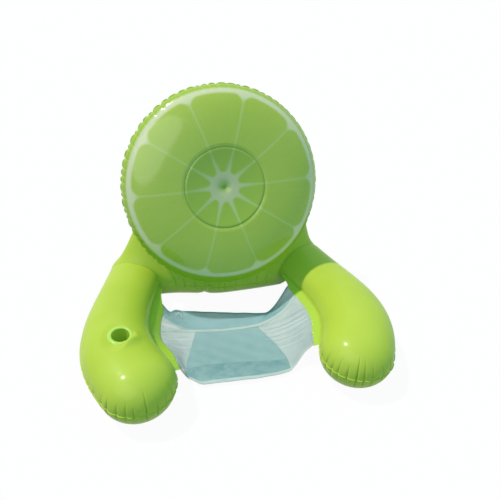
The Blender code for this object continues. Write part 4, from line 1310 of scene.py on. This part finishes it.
# %% The cup holder's three pieces
cup_matrix = Matrix.Translation(Vector(CUP_PLACE))
sleeve_outline = [
    (0.0300, -0.0940),
    (0.0308, -0.0942),
    (0.0316, -0.060),
    (0.0336, -0.0010),
    (0.0430, 0.0003),
    (0.0430, 0.0008),
    (0.0330, 0.0008),
    (0.0308, -0.060),
]
cup_sleeve = turned("cup_sleeve", sleeve_outline, cup_matrix, lime_film)
floor_outline = [
    (0.0, -0.0867),
    (0.0298, -0.0867),
    (0.0298, -0.0940),
    (0.0292, -0.0940),
    (0.0292, -0.0873),
    (0.0, -0.0873),
]
cup_floor = turned("cup_base", floor_outline, cup_matrix, lime_film)
rim_outline = [
    (0.0328, 0.0011),
    (0.0336, 0.0050),
    (0.0385, 0.0064),
    (0.0440, 0.0052),
    (0.0482, 0.0016),
    (0.0478, 0.0010),
]
cup_rim = turned("cup_rim", rounded(rim_outline, 0.003), cup_matrix, rim_film)
print("cup: radius", CUP_RADIUS, "depth", round(-floor_outline[0][1], 3))

# %% [markdown]
# ## The seat strips
# Along the inner side of each arm a strip of film is welded under the seam, and the sling is sewn
# to it. A strip is a sheet that follows the seam: one line beside the tube, one at its free edge,
# and points between them. It gets its thickness from a Solidify modifier.

# %% The seat strips
STRIP_WIDTH = 0.045
STRIP_DROP = 0.012
STRIP_GROWTH = 0.15
STRIP_ENDS = {1: 1.0, -1: 1.045}
# share of the full width behind, share lost towards the front, and where it goes
STRIP_TAPERS = {1: (0.80, 0.26, (0.80, 1.0)), -1: (1.0, 0.34, (0.88, 1.05))}
REAR_EXTRA_DROP = 0.033
ARM_LENGTH = 0.62
GAP = 0.0003
FILM = 0.0005
MESH_CLOTH = 0.0007


def strip_lines(share, side):
    """Three lines at +X: by the tube, at the seam allowance's edge and at the strip's free edge.

    Past the last rib the lines follow the round front: the half width shrinks as
    sqrt(1 - (distance / cap) ** 2).
    """
    share = np.asarray(share, float)
    center, forward, outward, half = arm_line(np.minimum(share, 1.0))
    ahead = np.maximum(share - 1.0, 0.0) * ARM_LENGTH
    center = center + forward * ahead[:, None]
    tall = half * ARM_HEIGHT_SHARE
    half = half * np.sqrt(1 - (ahead / (ARM_CAP_SHARE * half)) ** 2)
    growth = np.clip(share / STRIP_GROWTH, 0.0, 1.0) ** 2
    full, lost, taper = STRIP_TAPERS[side]
    own = full - lost * smooth(share, *taper)
    width = 2 * SEAM + (STRIP_WIDTH * own - 2 * SEAM) * growth
    height = tall - SEAM_FACE - 2 * GAP
    # the strip at -X hangs steeper at its rear, where the sling is lower
    steeper = (side < 0) * REAR_EXTRA_DROP * (1 - smooth(share, 0.38, 0.82))
    drop = (STRIP_DROP + steeper) * growth
    lines = []
    for reach, drop in ((2 * GAP, 0.0), (SEAM, 0.0), (width, drop)):
        plan = center - outward * (half + reach)[:, None]
        lines.append(np.concatenate([plan, (height - drop)[:, None]], -1))
    return lines


# %% Sheets
def give_thickness(piece, thickness):
    modifier = piece.modifiers.new("thickness", "SOLIDIFY")
    modifier.thickness = thickness
    modifier.offset = -1.0
    return piece


def sheet_size(grid):
    """Longest row, longest column and area of a grid of points."""
    across = path_length(grid, 1)[:, -1].max()
    along = path_length(grid, 0)[-1].max()
    first = np.cross(grid[1:, :-1] - grid[:-1, :-1], grid[:-1, 1:] - grid[:-1, :-1])
    second = np.cross(grid[1:, :-1] - grid[1:, 1:], grid[:-1, 1:] - grid[1:, 1:])
    area = (np.linalg.norm(first, axis=-1) + np.linalg.norm(second, axis=-1)).sum() / 2
    return float(across), float(along), float(area)


def facing_up(grid):
    """True if the grid's own normals point up on average."""
    return bool(normals_of(grid)[..., 2].mean() > 0)


# %% Both strips
def make_strip(side, name):
    """The first row lies by the tube, and 14 more run down the slope with a faint ripple."""
    share = np.linspace(0.03, STRIP_ENDS[side], 260)
    tube, flat, edge = strip_lines(share, side)
    t = np.linspace(0.0, 1.0, 14)[:, None, None]
    slope = flat + (edge - flat) * t
    ripple = 0.0016 * np.sin(share * 151) * np.sin(share * 43 + 1.0)
    slope[..., 2] += (t[..., 0] ** 2) * ripple * smooth(share, 0.10, 0.20)
    grid = np.concatenate([tube[None], slope], 0)
    grid[..., 0] *= side
    piece = surface(name, grid, strip_film, closed=False, flip=not facing_up(grid))
    return give_thickness(piece, FILM), sheet_size(grid)


left_strip, left_strip_size = make_strip(-1, "left_strip")
right_strip, right_strip_size = make_strip(1, "right_strip")
for strip_size in (left_strip_size, right_strip_size):
    print("strip, metres and square metres:", [round(v, 3) for v in strip_size])

# %% [markdown]
# ## The sling
# The sling is sewn from four pieces of net: a teal band behind, an aqua panel in the middle and two
# white side panels. One function gives the whole cloth from two shares, how far forward a point is
# and how far across. Each panel is a part of that cloth, so the panels meet exactly. Pull from the
# sewn edges shows as long slanting folds in the side panels.

# %% The cloth
SEAT_CLEARANCE = 0.006
SEAT_FRONT_RISE = 0.012
SEAT_REAR_BOW, SEAT_FRONT_BOW = -0.015, -0.035
SEAT_SHIFT_X = -0.018
SEAT_SKEW = 0.10
SEAT_LAP = 0.008
REAR_FLAT, REAR_FLAT_FADE = 0.66, (0.02, 0.20)
FALL_POWER = 1.35
RISE_LENGTH = 0.25
LAP_SHARE = 0.02
# metres that one whole share along the sling stands for
ALONG = 0.36
# each edge is a line of (across, along) shares, from the arm at -X to the arm at +X
REAR_EDGE = (
    *((-1.0, -0.05), (-0.92, 0.01), (-0.75, -0.035), (-0.5, -0.015), (-0.2, 0.0)),
    *((0.28, 0.03), (0.62, 0.07), (0.84, 0.01), (1.0, -0.04)),
)
BAND_MIDDLE = ((-0.5, 0.216), (-0.09, 0.224), (0.38, 0.200), (0.75, 0.170), (1.0, 0.085))
BAND_EDGE = ((-1.0, 0.065), (-0.85, 0.130), (-0.67, 0.195), *BAND_MIDDLE)
HEM_LINE = ((-1.0, 0.262), (-0.74, 0.228), *BAND_MIDDLE)
FRONT_EDGE = (
    *((-1.0, 1.035), (-0.9, 0.985), (-0.8, 1.0), (-0.68, 1.065), (-0.55, 1.06), (-0.4, 1.05)),
    *((0.0, 1.03), (0.4, 1.025), (0.727, 1.02), (0.84, 0.95), (0.93, 0.93), (1.0, 1.0)),
)
# in front of this line the cloth rises to its front edge
CREASE_LINE = ((-0.8, 0.835), (-0.4, 0.770), (0.0, 0.745), (0.35, 0.770), (0.7, 0.825))
# each join is a line of (along, across) shares
LEFT_JOIN = ((0.1, 0.46), (0.235, 0.475), (0.457, 0.583), (0.843, 0.80), (1.12, 0.83))
RIGHT_JOIN = ((0.1, 0.38), (0.247, 0.418), (0.406, 0.512), (0.806, 0.680), (1.06, 0.702))


def through(line, share):
    """A smooth curve through a line's points: straight pieces, averaged over a short window."""
    xs, ys = np.array(line).T
    offsets = np.linspace(-0.06, 0.06, 13)
    near = np.interp(np.asarray(share, float)[..., None] + offsets, xs, ys)
    return near.mean(-1)


def center_share(along, across):
    """Where the side panel starts, as a share of the sling's half width."""
    return np.where(across > 0, through(RIGHT_JOIN, along), through(LEFT_JOIN, along))


# %% The cloth's points
def cloth(along, across):
    """Points of the sling's upper face for two grids of shares, along the arms and across.

    Past a share of one the cloth runs back under the strip that it is sewn to.
    """
    along, across = np.broadcast_arrays(np.asarray(along, float), np.asarray(across, float))
    share = (STRIP_GROWTH + (1 - STRIP_GROWTH) * along).ravel()
    tied = {}
    for side in (1, -1):
        _, flat, edge = strip_lines(share, side)
        slope = edge - flat
        length = np.linalg.norm(slope, axis=1)[:, None]
        level = np.linalg.norm(slope[:, :2], axis=1)[:, None] / length
        edge = edge - np.array([0.0, 0.0, 1.0]) * (FILM + GAP) / level
        tied[side] = edge.reshape(along.shape + (3,)), (slope / length).reshape(along.shape + (3,))
    positive = across > 0
    own, other = (np.where(positive[..., None], tied[a][0], tied[-a][0]) for a in (1, -1))
    back = np.where(positive[..., None], tied[1][1], tied[-1][1])
    inside = np.clip(np.abs(across), 0.0, 1.0)
    middle = center_share(along, across)
    flat_part = middle + (REAR_FLAT - middle) * (1 - smooth(along, *REAR_FLAT_FADE))
    fall = np.clip((inside - flat_part) / (1 - flat_part), 0.0, 1.0) ** FALL_POWER
    crease = through(CREASE_LINE, across)
    rise = SEAT_FRONT_RISE * np.clip((along - crease) / RISE_LENGTH, 0.0, 1.0)
    low = SEAT_CLEARANCE + MESH_CLOTH + rise
    inner = 1 - inside**2
    bow = SEAT_REAR_BOW + (SEAT_FRONT_BOW - SEAT_REAR_BOW) * along
    x = own[..., 0] * np.clip(across, -1.0, 1.0) + SEAT_SHIFT_X * inner
    level_y = own[..., 1] * (1 + inside) / 2 + other[..., 1] * (1 - inside) / 2
    y = level_y + (bow - SEAT_SKEW * x) * inner
    z = low + (own[..., 2] - low) * fall + wrinkles(along, across)
    lap = SEAT_LAP * np.clip((np.abs(across) - 1.0) / LAP_SHARE, 0.0, 1.0)
    ones = np.ones_like(x)
    mirror = np.stack([np.sign(across), ones, ones], -1)
    return np.stack([x, y, z], -1) - lap[..., None] * back * mirror


# %% Folds in the cloth
FOLD_WIDTH = 0.0050
TROUGH_SHARE, TROUGH_OFF, TROUGH_WIDTH = 0.65, 0.0115, 0.0065
# start and end along the arms, and height; the last one on the left crosses the band
RIGHT_FOLDS = (
    (0.235, 0.290, 0.0050),
    (0.285, 0.365, 0.0020),
    (0.335, 0.425, 0.0036),
    (0.400, 0.500, 0.0056),
    (0.470, 0.600, 0.0018),
    (0.560, 0.730, 0.0024),
)
LEFT_FOLDS = (
    (0.30, 0.37, 0.0016),
    (0.42, 0.52, 0.0020),
    (0.55, 0.68, 0.0012),
    (0.72, 0.86, 0.0014),
    (0.195, 0.145, 0.0035),
)


def wrinkles(along, across):
    """Ridges that run straight from the inner join out to the strip, one per fold.

    A ridge stands at the along share that a straight line gives between its two ends, and falls
    off to both sides as exp(-(distance / width) ** 2), with a shallow trough in front of it.
    """
    width = np.abs(across)
    inner = center_share(along, across)
    out = np.clip((width - inner) / (1 - inner), -0.3, 1.0)
    held = smooth(out, -0.25, 0.55) * (1 - smooth(width, 0.965, 1.0))
    total = np.zeros(along.shape)
    for side, folds in ((1, RIGHT_FOLDS), (-1, LEFT_FOLDS)):
        for start, end, height in folds:
            off = (along - start - (end - start) * out) * ALONG
            trough = TROUGH_SHARE * np.exp(-(((off - TROUGH_OFF) / TROUGH_WIDTH) ** 2))
            ridge = np.exp(-((off / FOLD_WIDTH) ** 2)) - trough
            total += height * (side * across > 0) * ridge
    span = 1 - 0.6 * smooth(along, 0.60, 0.95)
    ripple = 0.0007 * np.sin(along * 61 + 9 * across) * np.sin(across * 33 + along * 17)
    slack = 0.0010 * np.sin(along * 31 + 3 * across) * np.sin(across * 19 + 1.0)
    tied, loose = 1 - smooth(width, 0.97, 1.0), 1 - smooth(width, 0.5, 1.0)
    return (total * held + ripple * smooth(out, 0.0, 0.4)) * span * tied + slack * loose


# %% Panels
def make_panel(name, along, across, material, lift=0.0, thickness=MESH_CLOTH):
    """A part of the cloth, and its flat size. Its map is in metres and is 0 on the crease line."""
    grid = cloth(along, across)
    along, across = np.broadcast_arrays(along, across)
    if lift:
        normal = normals_of(grid)
        grid = grid + normal * np.sign(normal[..., 2:]) * lift
    from_crease = (along - through(CREASE_LINE, across)) * ALONG
    place = np.stack([path_length(grid, 1), from_crease], -1)
    piece = surface(name, grid, material, place, closed=False, flip=not facing_up(grid))
    return give_thickness(piece, thickness), sheet_size(grid)


def between(low, high, rows):
    """Rows of along shares that run from one line to another."""
    t = np.linspace(0.0, 1.0, rows)[:, None]
    return low + (high - low) * t


LAP = np.array([1.01, 1.02])
PANEL_ROWS, BAND_ROWS = 170, 60
band_across = np.concatenate([-LAP[::-1], np.linspace(-1.0, 1.0, 300), LAP])
band_from, band_to = (through(line, band_across) for line in (REAR_EDGE, BAND_EDGE))
band_along = between(band_from, band_to, BAND_ROWS)
rear_band, band_size = make_panel("seat_band", band_along, band_across, band_net)


def front_panel(name, join_from, join_to, columns, material):
    """A panel in front of the band. Each side line is a join, or a strip's edge with its lap."""
    t = np.linspace(0.0, 1.0, columns)
    rough = np.linspace(0.1, 1.05, PANEL_ROWS)[:, None]
    along = np.broadcast_to(rough, (PANEL_ROWS, columns))
    # the joins slant and the edges curve, so each is found again from the other a few times
    for _ in range(4):
        first, last = join_from(along), join_to(along)
        across = first + (last - first) * t
        along = between(through(BAND_EDGE, across), through(FRONT_EDGE, across), PANEL_ROWS)
    if np.abs(across[0, -1]) > 0.99:
        lap = np.broadcast_to(np.sign(across[:, -1:]) * LAP, (PANEL_ROWS, 2))
        across = np.concatenate([across, lap], 1)
        along = np.concatenate([along, along[:, -1:], along[:, -1:]], 1)
    return make_panel(name, along, across, material)


def left_join(along):
    return -through(LEFT_JOIN, along)


def right_join(along):
    return through(RIGHT_JOIN, along)


def left_edge(along):
    return -np.ones_like(along)


middle_panel, middle_size = front_panel("seat_middle", left_join, right_join, 170, aqua_net)
right_panel, right_size = front_panel("seat_right", right_join, np.ones_like, 130, white_net)
# painted light: the left panel lies in the arm's shade, and its net lets more bright floor through
left_panel, left_size = front_panel("seat_left", left_join, left_edge, 130, shade_lifting_net)
for panel_size in (band_size, middle_size, left_size, right_size):
    print("sling panel:", [round(v, 3) for v in panel_size])

# %% [markdown]
# ## Tapes
# White tape is sewn over the front edge and over the join behind the middle panel, and a tape of
# the band's own net over the rear edge. Each is a narrow part of the same cloth, lifted by its own
# thickness. The middle one has a folded end on the left that runs up along the band's edge, and a
# small tab is sewn to the rear edge. Two tapes along the slanting joins would hide how the panels
# meet, and the real joins have none.

# %% Tapes
TAPE = 0.009
WEBBING = 0.0009
REAR_TAPE_SHARE, FRONT_TAPE_SHARE = 0.55, 1.2
tape_across = np.linspace(-0.992, 0.992, 300)
fold_across = np.linspace(-0.985, -0.66, 60)


def tape_steps(low, high, rows):
    """How far forward of its line each row of a tape lies, from shares of the tape's width."""
    return np.linspace(low, high, rows)[:, None] * TAPE / ALONG


cross_steps, hem_steps = tape_steps(-0.6, 0.6, 7), tape_steps(-1.0, 0.0, 7)
fold_steps = tape_steps(-0.45, 0.45, 5)


def make_tape(name, line, steps, material, across=tape_across):
    along = through(line, across) + steps
    return make_panel(name, along, across, material, WEBBING + GAP, WEBBING)[0]


def joined(first, second):
    """The second piece's mesh moved into the first one."""
    made = bmesh.new()
    made.from_mesh(first.data)
    made.from_mesh(second.data)
    made.to_mesh(first.data)
    made.free()
    bpy.data.objects.remove(second)
    return first


rear_tape = make_tape("seat_rear_tape", REAR_EDGE, -REAR_TAPE_SHARE * hem_steps, band_net)
cross_tape = make_tape("seat_cross_tape", HEM_LINE, cross_steps, tape_cloth)
# a folded end of it runs up along the band's edge on the left
folded_end = make_tape("seat_folded_tape", BAND_EDGE, fold_steps, tape_cloth, fold_across)
cross_tape = joined(cross_tape, folded_end)
front_tape = make_tape("seat_front_tape", FRONT_EDGE, FRONT_TAPE_SHARE * hem_steps, tape_cloth)

# %% The rear tab
TAB_ACROSS, TAB_ALONG = -0.730, 0.052
TAB_REACH = 0.062
TAB_INNER = 0.66


def make_tab():
    """A half ring of tape: its rows run from the inner arc to the outer one."""
    turn = np.linspace(0.0, math.pi, 28)
    grow = np.linspace(TAB_INNER, 1.0, 5)[:, None]
    across = TAB_ACROSS + TAB_REACH * grow * np.cos(turn)
    along = TAB_ALONG - TAB_REACH * grow * np.sin(turn) ** 0.7
    return make_panel("seat_tab", along, across, tape_cloth, WEBBING + GAP, WEBBING)[0]


rear_tab = make_tab()
print("tapes:", [tape.name for tape in (rear_tape, cross_tape, front_tape, rear_tab)])

# %% [markdown]
# ## Air valves
# Each air space has a push-in valve: a flange welded on the film, a stem that slides in, a plug on
# a short strap and a thin flap inside. They are small, so each is a turned outline in its own axes,
# with rounded edges. They ride on the bodies that the joints move.

# %% Air valves
clear_film = make_film("milky_valve_film", (214, 228, 214), (226, 238, 226), 0.24)


def valve_matrix(origin, up, out):
    """X across the strap, Y along the hinges and Z out of the air space."""
    y, z = Vector(up).normalized(), Vector(out).normalized()
    x = y.cross(z)
    turn = Matrix((x, y, z)).transposed().to_4x4()
    return Matrix.Translation(Vector(origin)) @ turn


# where each valve stands, its up and its way out
VALVES = {
    "backrest": (
        (-0.20767, 0.33249, 0.44004),
        (-0.25882, 0.4204, 0.86964),
        (0.0, 0.90032, -0.43523),
    ),
    "cradle": (LAND_MIDDLE, (0.0, 0.74314, -0.66913), (0.0, 0.66913, 0.74314)),
}
# closed outlines of (radius, height) points in metres
FLANGE = (
    *((0.0085, 0.0003), (0.0085, 0.0012), (0.0110, 0.0016)),
    *((0.0130, 0.0011), (0.0188, 0.0011), (0.0200, 0.0003)),
)
STEM = (
    *((0.0055, -0.0173), (0.0055, 0.0027), (0.0080, 0.0027)),
    *((0.0080, 0.0016), (0.0076, 0.0010), (0.0076, -0.0173)),
)
PLUG = (
    *((0.0, 0.0), (0.0043, 0.0), (0.0043, 0.0030), (0.0078, 0.0030)),
    *((0.0078, 0.0048), (0.0052, 0.0048), (0.0046, 0.0043), (0.0, 0.0043)),
)
FLAP = ((0.0, -0.0182), (0.0068, -0.0182), (0.0068, -0.0176), (0.0, -0.0176))
# the strap ends at the hinge, over a lug on the stem: their low and high corners
STRAP = ((0.0040, -0.0020, 0.0036), (0.0095, 0.0020, 0.0042))
LUG = ((0.0070, -0.0020, 0.0018), (0.0095, 0.0020, 0.0029))


def add_plate(piece, matrix, low, high):
    """A small box between two corners in the valve's axes, added to a piece's mesh."""
    low, high = Vector(low), Vector(high)
    spread = Matrix.Translation((low + high) / 2) @ Matrix.Diagonal((*(high - low), 1.0))
    made = bmesh.new()
    made.from_mesh(piece.data)
    corners = bmesh.ops.create_cube(made, size=1.0)["verts"]
    bmesh.ops.transform(made, matrix=matrix @ spread, verts=corners)
    made.to_mesh(piece.data)
    made.free()


def make_valve(name, matrix):
    outlines = (
        ("flange", rounded(FLANGE, 0.0005, 4), 72, 45.0),
        ("stem", rounded(STEM, 0.0005, 4), 72, 45.0),
        ("plug", PLUG, 72, 35.0),
        ("flap", FLAP, 48, 35.0),
    )
    pieces = {}
    for part, outline, steps, sharp in outlines:
        pieces[part] = turned(f"{name}_{part}", outline, matrix, clear_film, steps, sharp)
    add_plate(pieces["plug"], matrix, *STRAP)
    add_plate(pieces["stem"], matrix, *LUG)
    return pieces


valves = {name: make_valve(name, valve_matrix(*place)) for name, place in VALVES.items()}
print("valves:", list(valves))

# %% [markdown]
# ## What rides on what
# Every piece is tied to the body of the part that it belongs to, and it says which imported solids it
# stands for.

# %% Riding and replacing
bodies = (
    (
        backrest,
        "citrus_print_vinyl",
        ("backrest_front_panel", "backrest_back_panel", "backrest_ring_baffle"),
    ),
    (left_arm, "lime_vinyl", ("left_arm_top_panel", "left_arm_bottom_panel")),
    (right_arm, "lime_vinyl", ("right_arm_top_panel", "right_arm_bottom_panel")),
    (cradle, "lime_vinyl", ("cradle_top_panel", "cradle_bottom_panel")),
    (left_ring, "lime_rim_vinyl", ("left_arm_bulkhead",)),
    (right_ring, "lime_rim_vinyl", ("right_arm_bulkhead",)),
    (cup_sleeve, "lime_vinyl", ("cup_wall",)),
    (cup_floor, "lime_vinyl", ("cup_floor",)),
    (cup_rim, "lime_rim_vinyl", ("cup_rim_ring",)),
    (left_strip, "lime_vinyl", ("left_seat_strip",)),
    (right_strip, "lime_vinyl", ("right_seat_strip",)),
    (rear_band, "teal_seat_mesh", ("seat_rear_band",)),
    (middle_panel, "aqua_seat_mesh", ("seat_center_panel",)),
    (left_panel, "white_seat_mesh", ("seat_left_panel",)),
    (right_panel, "white_seat_mesh", ("seat_right_panel",)),
    (rear_tape, "white_seat_mesh", ("seat_rear_binding",)),
    (cross_tape, "white_seat_mesh", ("seat_cross_binding",)),
    (front_tape, "white_seat_mesh", ("seat_front_binding",)),
    (rear_tab, "white_seat_mesh", ("seat_rear_tab",)),
)
for piece, finish, stood_for in bodies:
    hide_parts(*stood_for)
    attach(piece, "chair")
for name, pieces in valves.items():
    for part, piece in pieces.items():
        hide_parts(f"{name}_valve_{part}")
        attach(piece, "chair" if part == "flange" else f"{name}_{part}")
